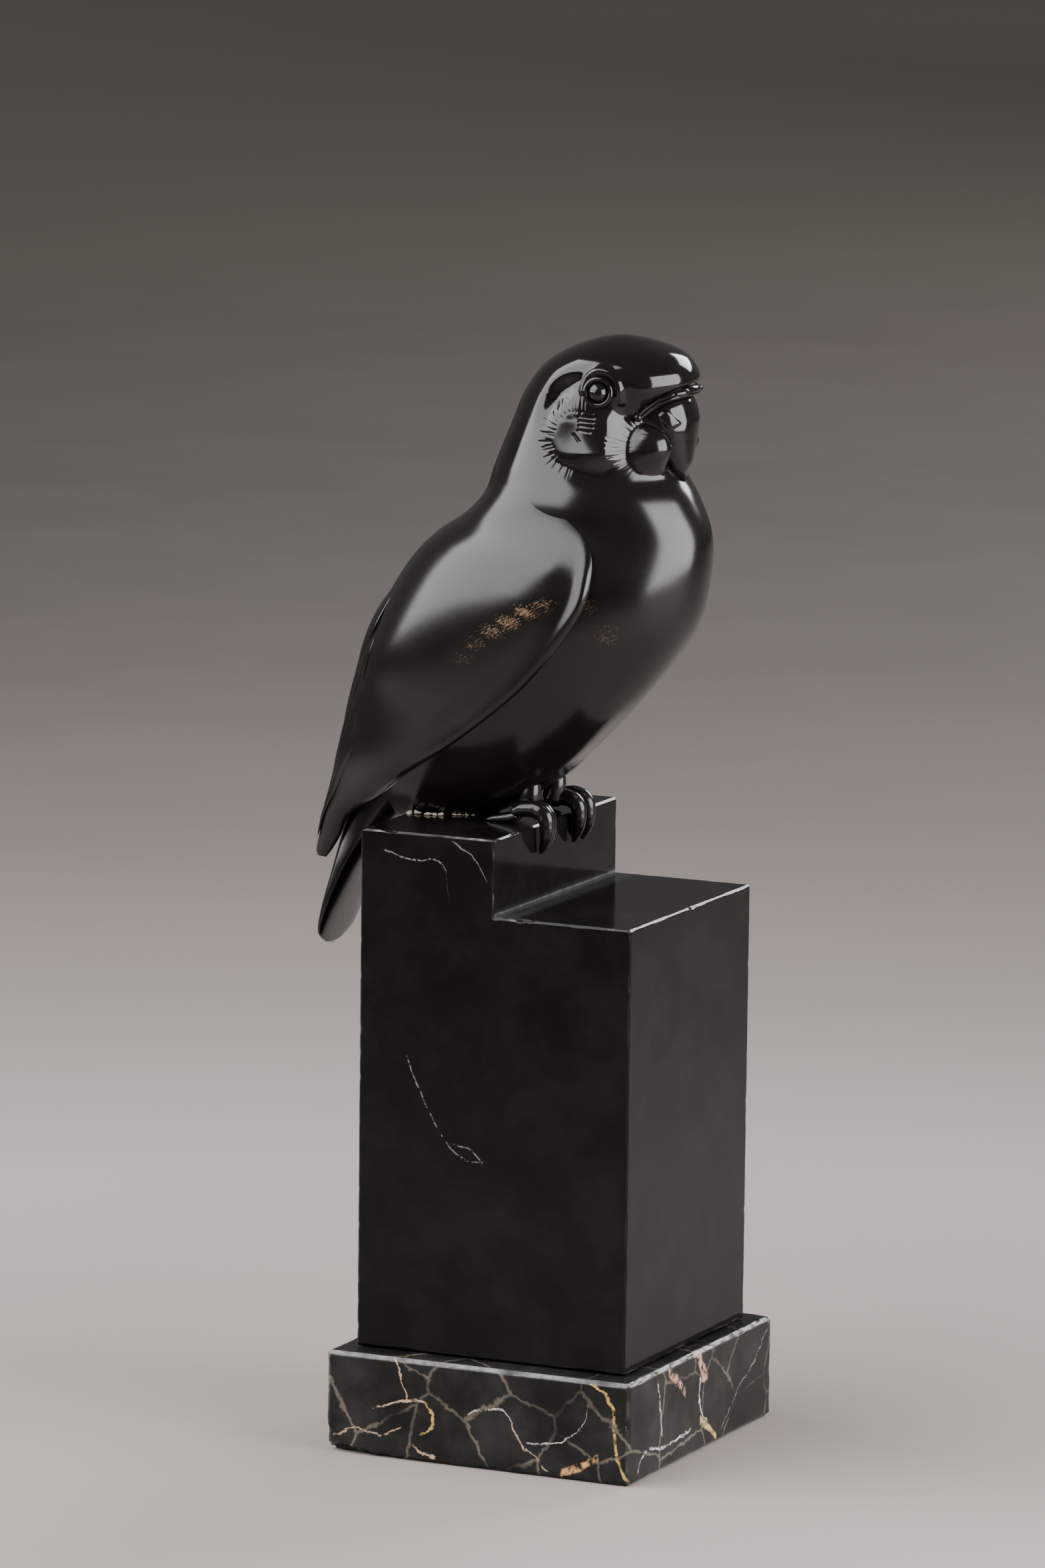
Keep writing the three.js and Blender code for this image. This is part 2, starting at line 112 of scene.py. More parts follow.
def ramp(low: float, high: float, value: Array | float) -> Array:
    """Ease from 0 at low to 1 at high."""
    share = np.clip((np.asarray(value, float) - low) / (high - low), 0, 1)
    return share * share * (3 - 2 * share)


def bell(distance: Array, radius: float) -> Array:
    """Rounded bump of height 1 that fades over the radius."""
    return np.exp(-((distance / radius) ** 2))


def soft_max(a: Array, b: Array | float, blend: float) -> Array:
    """Larger of two values, with a rounded change from one to the other."""
    return 0.5 * (a + b + np.sqrt((a - b) ** 2 + blend**2))


def unit(vectors: Array) -> Array:
    """Scale vectors to length 1."""
    return vectors / np.maximum(np.linalg.norm(vectors, axis=-1, keepdims=True), NONE)


def grid_normals(grid: Array, wrap: bool) -> Array:
    """Work out the direction that each point of a grid of points faces.

    Args:
        grid: Points, rows by columns.
        wrap: True where the last column meets the first.

    Returns:
        Unit normals of the same shape, all on one side of the grid.
    """
    down = np.gradient(grid, axis=0)
    if wrap:
        along = (np.roll(grid, -1, axis=1) - np.roll(grid, 1, axis=1)) / 2
    else:
        along = np.gradient(grid, axis=1)
    return unit(np.cross(down, along))


def path_distance(x: Array, z: Array, paths: Sequence[Sequence[Flat]]) -> Array:
    """Measure how far places of the side view lie from some lines.

    Args:
        x: Places along the bird.
        z: Heights.
        paths: Lines, each a run of points (x, z).

    Returns:
        Distances to the nearest line.
    """
    nearest = np.full(x.shape, 1e3)
    for path in paths:
        for (x0, z0), (x1, z1) in zip(path, path[1:]):
            dx, dz = x1 - x0, z1 - z0
            share = np.clip(((x - x0) * dx + (z - z0) * dz) / (dx * dx + dz * dz), 0, 1)
            nearest = np.minimum(nearest, np.hypot(x - x0 - share * dx, z - z0 - share * dz))
    return nearest


# Meshes


class Skin:
    """Points and faces of one mesh, gathered from closed parts."""

    def __init__(self) -> None:
        """Start empty."""
        self.points: list[Array] = []
        self.faces: list[list[int]] = []
        self.count = 0

    def add(self, points: Array, faces: list[list[int]]) -> None:
        """Add one closed part, turned so that its faces look outward.

        Args:
            points: Points, one row each.
            faces: Corner numbers of each face.
        """
        first = [f[0] for f in faces]
        second = [f[1] for f in faces]
        third = [f[2] for f in faces]
        a, b, c = points[first], points[second], points[third]
        volume = np.einsum("ij,ij->i", a, np.cross(b, c)).sum()
        fourth = [(f[0], f[2], f[3]) for f in faces if len(f) == 4]
        if fourth:
            i, j, k = np.array(fourth).T
            volume += np.einsum("ij,ij->i", points[i], np.cross(points[j], points[k])).sum()
        base = self.count
        if volume < 0:
            self.faces += [[base + i for i in reversed(f)] for f in faces]
        else:
            self.faces += [[base + i for i in f] for f in faces]
        self.points.append(points)
        self.count += len(points)

    def rings(self, rings: Array, start: Array | None = None, end: Array | None = None) -> None:
        """Add a tube of rings, closed by a point at each end.

        Args:
            rings: Rings of points, shaped rings by points by 3.
            start: End point before the first ring, its middle if left out.
            end: End point after the last ring, its middle if left out.
        """
        count, around = rings.shape[:2]
        first = rings[0].mean(axis=0) if start is None else np.asarray(start, float)
        last = rings[-1].mean(axis=0) if end is None else np.asarray(end, float)
        points = np.vstack([first[None], rings.reshape(-1, 3), last[None]])
        here = np.arange(around)
        after = (here + 1) % around
        faces: list[list[int]] = np.stack([np.zeros_like(here), 1 + after, 1 + here], 1).tolist()
        for k in range(count - 1):
            a = 1 + k * around
            b = a + around
            faces += np.stack([a + here, a + after, b + after, b + here], 1).tolist()
        edge = 1 + (count - 1) * around
        tip = np.full_like(here, len(points) - 1)
        faces += np.stack([tip, edge + here, edge + after], 1).tolist()
        self.add(points, faces)

    def ball(self, middle: Array, radii: Array, axes: Array, steps: int = 24) -> None:
        """Add an ellipsoid.

        Args:
            middle: Its middle.
            radii: Half sizes along its three axes.
            axes: Three unit vectors, one a row; the poles lie on the third.
            steps: Rings from pole to pole.
        """
        polar = np.linspace(0, math.pi, steps + 1)[1:-1]
        turn = np.linspace(0, 2 * math.pi, 2 * steps, endpoint=False)
        p, t = np.meshgrid(polar, turn, indexing="ij")
        local = np.stack([np.sin(p) * np.cos(t), np.sin(p) * np.sin(t), np.cos(p)], -1) * radii
        pole = axes[2] * radii[2]
        self.rings(middle + local @ axes, middle + pole, middle - pole)

    def ring(self, middle: Array, radius: float, thickness: float, axes: Array) -> None:
        """Add a round ring.

        Args:
            middle: Its middle.
            radius: From the middle to the middle line of the ring.
            thickness: Half thickness of the ring.
            axes: Three unit vectors, one a row; the hole lies along the third.
        """
        major, minor = 96, 20
        turn = np.linspace(0, 2 * math.pi, major, endpoint=False)[:, None]
        roll = np.linspace(0, 2 * math.pi, minor, endpoint=False)[None, :]
        reach = radius + thickness * np.cos(roll)
        height = thickness * np.sin(roll) + 0 * turn
        local = np.stack([reach * np.cos(turn), reach * np.sin(turn), height], -1)
        points = (middle + local @ axes).reshape(-1, 3)
        i, k = np.meshgrid(np.arange(major), np.arange(minor), indexing="ij")
        n, m = (i + 1) % major, (k + 1) % minor
        corners = [i * minor + k, n * minor + k, n * minor + m, i * minor + m]
        self.add(points, np.stack([c.ravel() for c in corners], 1).tolist())

    def limb(
        self,
        path: Sequence[Point],
        radii: Sequence[float],
        steps: int,
        around: int,
        scales: float = 0.0,
    ) -> None:
        """Add a round limb along a path, with rounded ends.

        Args:
            path: Points that its middle line follows.
            radii: Half thicknesses, spread evenly along the path.
            steps: Rings along it.
            around: Points in each ring.
            scales: Depth of the cross folds on it, as a share of the radius.
        """
        end_gap, end_round, folds = 0.02, 0.06, 9
        share = 0.5 - 0.5 * np.cos(np.linspace(end_gap, 1 - end_gap, steps) * math.pi)
        middle = smooth(path, share * (len(path) - 1))
        along = unit(np.gradient(middle, axis=0))
        crosses = np.abs(along[:, 1]).max() > 0.9
        guide = np.array([0.3, 0.0, 1.0]) if crosses else np.array([0.0, 1.0, 0.0])
        side = unit(guide - along * (along @ guide)[:, None])
        up = np.cross(along, side)
        radius = smooth(radii, share * (len(radii) - 1))
        ends = np.minimum(share, 1 - share) / end_round
        radius = radius * np.sqrt(1 - (1 - np.clip(ends, 0, 1)) ** 2)
        radius = radius * (1 + scales * np.sin(share * 2 * math.pi * folds))
        angle = np.linspace(0, 2 * math.pi, around, endpoint=False)
        across = side[:, None] * np.cos(angle)[None, :, None]
        upward = up[:, None] * np.sin(angle)[None, :, None]
        self.rings(middle[:, None] + (across + upward) * radius[:, None, None])

    def make(self, name: str, slot: Slot, material: bpy.types.Material, origin: Point) -> bpy.types.Object:
        """Turn the parts into one smooth Blender piece that rides on the part.

        Args:
            name: Name of the piece.
            slot: Not used.
            material: Its material.
            origin: Where the drawn origin lies in the part, in millimetres.

        Returns:
            The new object.
        """
        mesh = bpy.data.meshes.new(name)
        points = (np.vstack(self.points) + np.asarray(origin)) * MM
        mesh.from_pydata(points.tolist(), [], self.faces)
        mesh.update()
        mesh.shade_smooth()
        mesh.materials.append(material)
        piece = bpy.data.objects.new(name, mesh)
        bpy.context.scene.collection.objects.link(piece)
        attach(piece, "root")
        return piece


# The bird


@dataclass(frozen=True)
class Fan:
    """Fan of engraved strokes on the side of the head, in the side view."""

    place: Flat
    start: float
    stop: float
    count: int
    inner: float
    outer: float

    def strokes(self, rng: np.random.Generator) -> list[list[Flat]]:
        """Draw the strokes, each a little different.

        Args:
            rng: Seeded source of the differences.

        Returns:
            One short line per stroke.
        """
        lines = []
        for angle in np.linspace(self.start, self.stop, self.count):
            a = math.radians(angle + rng.uniform(-2.5, 2.5))
            b = a + math.radians(rng.uniform(-4, 4))
            near = self.inner + rng.uniform(-0.5, 0.7)
            far = self.outer + rng.uniform(-0.8, 0.9)
            x, z = self.place
            lines.append(
                [
                    (x + near * math.cos(a), z + near * math.sin(a)),
                    (x + far * math.cos(b), z + far * math.sin(b)),
                ]
            )
        return lines


@dataclass(frozen=True)
class BodyForm:
    """Smooth form of the head, breast, back and belly."""

    crown: Flat = (17.9, 142.4)
    vent: Flat = (-56.0, -1.5)
    fronts: tuple[Flat, ...] = (
        (28.6, 141.0),
        (38.2, 137.0),
        (41.8, 130.6),
        (35.2, 121.5),
        (37.4, 104.6),
        (42.2, 96.2),
        (46.6, 85.1),
        (45.4, 69.7),
        (41.1, 55.9),
        (22.8, 32.2),
        (-0.2, 11.0),
        (-27.3, -2.4),
    )
    backs: tuple[Flat, ...] = (
        (6.3, 139.5),
        (-3.5, 133.6),
        (-9.7, 125.3),
        (-12.8, 118.0),
        (-19.1, 103.2),
        (-21.7, 95.9),
        (-27.4, 89.2),
        (-36.2, 83.0),
        (-44.2, 74.9),
        (-56.2, 54.3),
        (-61.5, 34.3),
        (-61.5, 15.1),
    )
    # Half width of each section as a share of its half depth
    widths: tuple[float, ...] = (1.0, 0.93, 0.85, 0.91, 0.83, 0.785, 0.695, 0.745, 0.75, 0.76, 0.77, 0.74)

    @property
    def end(self) -> int:
        """Station of the last point."""
        return len(self.widths) + 1

    def outline(self, share: Array) -> Array:
        """Read the closed side view.

        Args:
            share: Places round the outline, 0 at the crown and 0.5 at the vent.

        Returns:
            Points (x, z).
        """
        known = np.array([self.crown, *self.fronts, self.vent, *reversed(self.backs)])
        count = len(known)
        place = (np.asarray(share, float) % 1.0) * count
        k = np.floor(place).astype(int)
        w = (place - k)[..., None]
        p0, p1, p2, p3 = (known[(k + s) % count] for s in (-1, 0, 1, 2))
        d0, d1, d2 = (
            (np.maximum(((b - a) ** 2).sum(-1), NONE) ** 0.25)[..., None]
            for a, b in ((p0, p1), (p1, p2), (p2, p3))
        )
        rise = ((p1 - p0) / d0 - (p2 - p0) / (d0 + d1) + (p2 - p1) / d1) * d1
        fall = ((p2 - p1) / d1 - (p3 - p1) / (d1 + d2) + (p3 - p2) / d2) * d1
        step = p2 - p1
        return p1 + rise * w + (3 * step - 2 * rise - fall) * w**2 + (rise + fall - 2 * step) * w**3

    def section(self, station: Array) -> tuple[Array, Array, Array]:
        """Read cross sections of the body.

        Args:
            station: Places from the crown (0) to the vent.

        Returns:
            Their middles, the vectors from there to the front, and their half widths.
        """
        front = self.outline(station / self.end / 2)
        back = self.outline(1 - station / self.end / 2)
        depth = (front - back) / 2
        half = smooth(self.widths, station - 1) * np.linalg.norm(depth, axis=-1)
        return (front + back) / 2, depth, half

    def point(self, station: Array, angle: Array, proud: Array | float = 0.0) -> Array:
        """Find points of the surface.

        Args:
            station: Place from the crown (0) to the vent.
            angle: Degrees from the back line, under 180 on the bird's left side.
            proud: How far outside the surface.

        Returns:
            Points (x, y, z).
        """
        station, angle, proud = np.broadcast_arrays(
            np.asarray(station, float), np.asarray(angle, float), np.asarray(proud, float)
        )
        middle, depth, half = self.section(station)
        length = np.linalg.norm(depth, axis=-1)
        turn = np.radians(angle)
        grown = depth * ((length + proud) / length)[..., None]
        flat = middle - grown * np.cos(turn)[..., None]
        y = (half + proud) * np.sin(turn)
        return np.stack([flat[..., 0], y, flat[..., 1]], -1)

    def side(self, x: float, z: float) -> Array:
        """Find the point of the left side that shows at a place of the side view.

        Args:
            x: Place along the bird.
            z: Height.

        Returns:
            The point (x, y, z).
        """
        low, high = 0.2, self.end - 0.2
        halvings = 40
        for _ in range(halvings):
            mid = (low + high) / 2
            middle, depth, _ = self.section(np.array(mid))
            above = depth[0] * (z - middle[1]) - depth[1] * (x - middle[0]) > 0
            low, high = (low, mid) if above else (mid, high)
        middle, depth, half = self.section(np.array(low))
        share = ((x - middle[0]) * depth[0] + (z - middle[1]) * depth[1]) / (depth**2).sum()
        return np.array([x, float(half) * math.sqrt(max(0.0, 1 - share * share)), z])

    def side_axes(self, x: float, z: float) -> Array:
        """Find which way the left side faces at a place of the side view.

        Args:
            x: Place along the bird.
            z: Height.

        Returns:
            Three unit vectors, one a row: forward, up and outward.
        """
        step = 0.6
        ahead = self.side(x + step, z) - self.side(x - step, z)
        above = self.side(x, z + step) - self.side(x, z - step)
        outward = unit(np.cross(above, ahead))
        forward = unit(ahead)
        return np.array([forward, np.cross(outward, forward), outward])


@dataclass(frozen=True)
class HeadRelief:
    """Carving of the face: orbit, brow, ear disc, cheek, mask edge and strokes."""

    eye: Flat = (21.0, 128.1)
    ear: Flat = (16.0, 117.0)
    # Round the ear: angle in degrees, reach, depth and width of the groove
    rim_steps: tuple[tuple[float, float, float, float], ...] = (
        (78, 19.0, 0.0, 5.0),
        (98, 18.2, 1.5, 5.0),
        (115, 17.4, 2.4, 5.0),
        (142, 16.4, 2.4, 4.0),
        (165, 15.8, 1.2, 3.0),
        (185, 15.4, 0.3, 2.5),
        (223, 16.0, 0.4, 2.0),
        (251, 15.4, 0.6, 2.0),
        (281, 16.6, 0.6, 2.0),
        (298, 20.4, 0.5, 2.0),
        (312, 25.2, 0.3, 2.0),
        (322, 30.0, 0.0, 2.0),
    )
    cheek_ball: Point = (31.3, 9.4, 110.6)
    cheek_size: Point = (7.4, 5.9, 8.3)
    chin_ball: Point = (36.4, 0.0, 101.0)
    chin_size: Point = (3.0, 3.8, 2.4)
    ear_fan: Fan = Fan((15.4, 114.2), 78, 270, 26, 8.0, 12.4)
    cheek_fan: Fan = Fan((34.0, 111.0), 100, 264, 24, 5.8, 11.2)
    small_strokes: tuple[tuple[Flat, Flat], ...] = (
        ((15.9, 122.3), (19.6, 122.0)),
        ((15.5, 120.9), (19.8, 120.6)),
        ((15.6, 119.6), (19.6, 119.3)),
        ((15.7, 118.3), (19.5, 117.9)),
        ((15.4, 116.9), (18.8, 116.4)),
        ((14.0, 115.6), (15.9, 113.6)),
    )
    stroke_half: float = 0.21
    stroke_depth: float = 0.16
    wall_width: float = 4.8
    wall_top: float = 0.6
    floor_place: float = 3.4
    plate_start: float = 7.0
    plate_bend: float = 0.012
    socket_reach: float = 6.6
    socket_depth: float = 1.7
    lore: tuple[Flat, ...] = ((29.5, 127.5), (27.0, 120.5))
    lore_depth: float = 0.8
    lore_width: float = 2.2
    lid_angles: tuple[float, ...] = (176, 150, 120, 92, 65, 38, 12, -14, -28)
    lid_reaches: tuple[float, ...] = (5.1, 5.5, 5.9, 6.2, 6.2, 6.1, 6.1, 6.4, 7.0)
    lid_height: float = 0.95
    lid_width: float = 1.05
    ball_blend: float = 2.4

    def near_side(self, normals: Array) -> Array:
        """Weight of the surface that faces sideways."""
        return ramp(0.3, 0.6, np.abs(normals[..., 1]))

    def rim(self, x: Array, z: Array) -> Array:
        """Depth of the groove round the ear and cheek coverts, steep on its outer side.

        Args:
            x: Places along the bird.
            z: Heights.

        Returns:
            Depths.
        """
        dx, dz = x - self.ear[0], z - self.ear[1]
        turn = np.degrees(np.arctan2(dz, dx)) % 360
        angles, reaches, depths, widths = np.array(self.rim_steps).T
        gap = np.hypot(dx, dz) - np.interp(turn, angles, reaches)
        wall = 1 - ramp(self.wall_top - self.wall_width, self.wall_top, gap)
        slope = bell(np.minimum(gap + self.floor_place, 0), np.interp(turn, angles, widths))
        return np.interp(turn, angles, depths) * wall * slope

    def heights(self, points: Array, normals: Array) -> Array:
        """Work out how far the carving raises or sinks each point.

        Args:
            points: Points of the plain head.
            normals: Directions they face.

        Returns:
            Heights along the normals.
        """
        x, z = points[..., 0], points[..., 2]
        height = self.ear_plate(x, z) - self.rim(x, z) - self.valleys(x, z)
        height = height + self.brow(x, z) + self.engraving(x, z)
        return self.near_side(normals) * height

    def ear_plate(self, x: Array, z: Array) -> Array:
        """Height of the ear coverts, which stand out towards their front and lower edges.

        Args:
            x: Places along the bird.
            z: Heights.

        Returns:
            Heights over the plain head.
        """
        rise = self.plate_bend * np.clip(x - self.plate_start, 0, 15) ** 2
        rise = rise * (1 - ramp(21.5, 28.5, x))
        lean = 0.55 + 0.45 * np.clip((124.5 - z) / 14.0, 0, 1)
        return rise * lean * (1 - ramp(119.0, 128.0, z)) * ramp(101.5, 110.5, z)

    def valleys(self, x: Array, z: Array) -> Array:
        """Depth of the eye socket and of the hollow between eye and beak.

        Args:
            x: Places along the bird.
            z: Heights.

        Returns:
            Depths.
        """
        eye = np.hypot((x - self.eye[0] - 0.3) / 1.08, z - self.eye[1] - 0.2)
        socket = self.socket_depth * bell(eye, self.socket_reach)
        return socket + self.lore_depth * bell(path_distance(x, z, [self.lore]), self.lore_width)

    def brow(self, x: Array, z: Array) -> Array:
        """Height of the upper eyelid, an arched fold over the eye.

        Args:
            x: Places along the bird.
            z: Heights.

        Returns:
            Heights.
        """
        ex, ez = self.eye
        steps = np.linspace(0, len(self.lid_angles) - 1, 60)
        angles, reach = smooth(np.radians(self.lid_angles), steps), smooth(self.lid_reaches, steps)
        arch = list(zip(ex + reach * np.cos(angles), ez + reach * np.sin(angles)))
        return self.lid_height * bell(path_distance(x, z, [arch]), self.lid_width)

    def engraving(self, x: Array, z: Array) -> Array:
        """Depth of the fine strokes.

        Args:
            x: Places along the bird.
            z: Heights.

        Returns:
            Heights, under 0 in a stroke.
        """
        rng = np.random.default_rng(7)
        lines = [*self.ear_fan.strokes(rng), *self.cheek_fan.strokes(rng), *self.small_strokes]
        return -self.stroke_depth * bell(path_distance(x, z, lines), self.stroke_half)

    def swelling(self, points: Array, normals: Array) -> Array:
        """Height of the cheek and chin balls where they stand out of the head.

        Args:
            points: Points of the plain head.
            normals: Directions they face.

        Returns:
            Heights along the normals.
        """
        total = np.zeros(points.shape[:-1])
        for place, size in ((self.cheek_ball, self.cheek_size), (self.chin_ball, self.chin_size)):
            middle = np.array(place)
            near = points * np.array([1.0, 0.0, 1.0]) + np.abs(points) * np.array([0.0, 1.0, 0.0])
            way = normals.copy()
            way[..., 1] *= np.where(points[..., 1] < 0, -1, 1)
            height = np.zeros(points.shape[:-1])
            for _ in range(5):
                height = height - self.ball_gap(near + way * height[..., None] - middle, size)
                height = np.clip(height, -4, 6)
            total += soft_max(height, 0.0, self.ball_blend) * ramp(-4.0, 0.5, height)
        return total

    @staticmethod
    def ball_gap(local: Array, size: Point) -> Array:
        """Rough distance from the surface of an ellipsoid.

        Args:
            local: Points, seen from its middle.
            size: Its half sizes.

        Returns:
            Distances, under 0 inside it.
        """
        radii = np.array(size)
        near = np.linalg.norm(local / radii, axis=-1)
        return near * (near - 1) / np.maximum(np.linalg.norm(local / radii**2, axis=-1), HAIR)


@dataclass(frozen=True)
class Wing:
    """Folded wing: a shell on the body that runs on as a free tip with stacked feathers."""

    body: BodyForm
    # Shell on the body: station and angle of the lip at each control row
    stations: tuple[float, ...] = (5.2, 5.9, 6.6, 7.4, 8.2, 9.0, 9.9, 10.8)
    lips: tuple[float, ...] = (68, 82, 97, 111, 116.5, 116.5, 113.5, 102.5)
    rear: float = 15.0
    shoulder_rear: float = 26.0
    shoulder_rows: float = 3.0
    proud: float = 2.3
    buried: float = 3.0
    sunk: float = 0.12
    rear_share: float = 0.25
    steps_down: int = 190
    steps_across: int = 84
    # Free tip: its rear edge, its lip and how far it bulges between them
    tip_rear: tuple[Point, ...] = (
        (-63.2, 10.0, 18.0),
        (-66.6, 9.6, 6.0),
        (-69.8, 9.2, -3.4),
        (-72.0, 9.0, -10.0),
        (-73.1, 8.8, -13.4),
        (-72.9, 8.8, -15.4),
    )
    tip_lip: tuple[Point, ...] = (
        (-38.5, 23.4, 12.6),
        (-49.4, 17.6, 5.0),
        (-59.9, 13.8, -1.2),
        (-64.2, 11.4, -8.6),
        (-67.4, 9.7, -13.0),
        (-69.8, 9.2, -15.8),
    )
    tip_bulge: tuple[float, ...] = (6.4, 4.7, 3.0, 2.0, 1.2, 0.6)
    tip_way: Point = (-0.62, -0.1, -0.78)
    tip_columns: int = 11
    lining: float = 0.55
    leaves_body: Flat = (6.0, 6.9)
    # Stacked feathers, in control rows and shares of the width
    feather_ends: tuple[float, ...] = (7.7, 8.75, 9.8, 10.95)
    feather_starts: tuple[float, ...] = (5.2, 5.6, 6.0, 6.4)
    feather_widths: tuple[float, ...] = (0.2, 0.28, 0.36, 0.45)
    overhang: float = 45.0
    # Lip: a bead along it, a valley behind the bead, and the rows where they come and go
    lip_grows: Flat = (2.2, 4.3)
    lip_fades: Flat = (7.0, 8.6)
    lip_round: float = 1.3
    bead_place: float = 1.7
    bead_width: float = 1.6
    valley_place: float = 6.5
    valley_depth: float = 0.35
    valley_width: float = 3.0

    def on_body(self, row: Array, share: Array, outer: bool) -> Array:
        """Read the part of the shell that lies on the body.

        Args:
            row: Place down the wing, in control rows.
            share: Place across it.
            outer: True for the outer surface.

        Returns:
            Points of the same shape.
        """
        rear = self.rear + self.shoulder_rear * (1 - np.clip(row / self.shoulder_rows, 0, 1)) ** 2
        angle = rear + (smooth(self.lips, row) - rear) * share
        proud = self.fullness(row, share) if outer else -self.buried + 0 * share
        return self.body.point(smooth(self.stations, row), angle, proud)

    def fullness(self, row: Array | float, share: Array | float) -> Array:
        """How proud the shell stands on the body.

        Args:
            row: Place down the wing, in control rows.
            share: Place across it, 0 at the rear edge and 1 at the lip.

        Returns:
            Height over the body.
        """
        across = self.rear_share + (1 - self.rear_share) * ramp(-0.05, 0.45, share)
        shoulder = (1 - ramp(1.4, 4.0, row)) * ramp(0.25, 1.0, share)
        return -self.sunk + (self.proud + self.sunk) * ramp(0.0, 3.4, row) * across * (1 - shoulder)

    def controls(self, outer: bool) -> Array:
        """Set out the net of points that the shell runs through.

        Args:
            outer: True for the outer surface, False for the one under it.

        Returns:
            Points, rows by columns.
        """
        share = np.linspace(0, 1, self.tip_columns)
        rows = [self.on_body(0 * share + k, share, outer) for k in range(len(self.stations))]
        for rear_point, lip_point, bulge in zip(self.tip_rear, self.tip_lip, self.tip_bulge):
            a, b = np.array(rear_point), np.array(lip_point)
            across = (b - a) / 2
            thick = unit(np.cross(across, np.array(self.tip_way)))
            thick = thick if thick[1] > 0 else -thick
            turn = math.pi * (1 - share)[:, None]
            lift = bulge if outer else -self.lining * bulge
            rows.append((a + b) / 2 + across * np.cos(turn) + thick * np.sin(turn) * lift)
        return np.array(rows)

    def surface(self, row: Array, share: Array, outer: bool = True) -> Array:
        """Read the smooth surface of the shell.

        Args:
            row: Place down the wing, in control rows.
            share: Place across it.
            outer: True for the outer surface.

        Returns:
            Points of the same shape.
        """
        net = self.controls(outer)
        row, share = np.broadcast_arrays(np.asarray(row, float), np.asarray(share, float))
        columns = smooth(net, row.ravel())
        place = np.clip(share.ravel(), 0, 1) * (net.shape[1] - 1)
        k = np.minimum(place.astype(int), net.shape[1] - 2)
        w = (place - k)[:, None]
        pick = np.arange(len(k))
        p0, p1, p2, p3 = (columns[pick, np.clip(k + s, 0, net.shape[1] - 1)] for s in (-1, 0, 1, 2))
        rise, fall, step = (p2 - p0) / 2, (p3 - p1) / 2, p2 - p1
        point = p1 + rise * w + (3 * step - 2 * rise - fall) * w**2 + (rise + fall - 2 * step) * w**3
        free = ramp(*self.leaves_body, row)[..., None]
        held = self.on_body(row, np.clip(share, 0, 1), outer)
        return held * (1 - free) + point.reshape(*row.shape, 3) * free

    def shell(self, skin: Skin, side: Side) -> None:
        """Add the shell of one wing.

        Args:
            skin: Skin that takes it.
            side: Which wing.
        """
        rows = np.linspace(0, len(self.stations) + len(self.tip_bulge) - 1, self.steps_down)
        share = 1 - (1 - np.linspace(0, 1, self.steps_across)) ** 1.7
        row, across = np.meshgrid(rows, share, indexing="ij")
        outer = self.surface(row, across)
        inner = self.surface(row, across, False)
        facing = grid_normals(outer, False)
        facing *= np.sign(facing[..., 1:2].mean())
        width = np.linalg.norm(outer[:, -1] - outer[:, 0], axis=-1)[:, None]
        near_lip = (1 - across) * width
        on_body = 1 - ramp(*self.lip_fades, row)
        grown = ramp(*self.lip_grows, row)
        bead = (0.6 + 0.6 * bell(row - 4.3, 1.0)) * bell(near_lip - self.bead_place, self.bead_width)
        bead = bead * on_body * grown
        valley = self.valley_depth * bell(near_lip - self.valley_place, self.valley_width)
        bead = bead - valley * on_body * grown
        inset = 1 - np.clip(near_lip / self.lip_round, 0, 1)
        round_off = self.lip_round * (1 - np.sqrt(1 - inset**2)) * on_body * grown
        outer = outer + facing * (bead - round_off)[..., None]
        rings = np.concatenate([outer, inner[:, ::-1]], axis=1)
        rings[..., 1] *= side.value
        skin.rings(rings)

    def feathers(self, skin: Skin, side: Side) -> None:
        """Add the flight feathers stacked along the rear edge, the shorter ones on top.

        Args:
            skin: Skin that takes them.
            side: Which wing.
        """
        along = np.linspace(0, 1, 70)
        turn = np.linspace(0, 2 * math.pi, 28, endpoint=False)
        for k, (start, end, wide) in enumerate(
            zip(self.feather_starts, self.feather_ends, self.feather_widths)
        ):
            a, t = np.meshgrid(along, turn, indexing="ij")
            taper = np.sqrt(np.clip(1 - a**6, 0, 1)) * ramp(-0.1, 0.35, a)
            row = start + (end - start) * a
            centre = 0.5 * wide * (1 - 0.35 * a)
            share = centre + centre * np.cos(t) * taper * (1.05 + 0.12 * a)
            base = self.surface(row, np.clip(share, 0.0, 1))
            inward = self.surface(row, np.clip(share, 0.0, 1), False)
            facing = unit(base - inward)
            over = np.minimum(share, 0) * self.overhang
            rearward = unit(self.surface(row, 0 * share) - self.surface(row, 0 * share + 0.1))
            lift = (0.55 + 1.1 * a - 0.2 * k) * ramp(0, 0.3, a)
            height = lift + 0.75 * np.sin(t) * taper - 0.5
            points = base + facing * height[..., None] + rearward * (-over)[..., None]
            points[..., 1] *= side.value
            skin.rings(points)


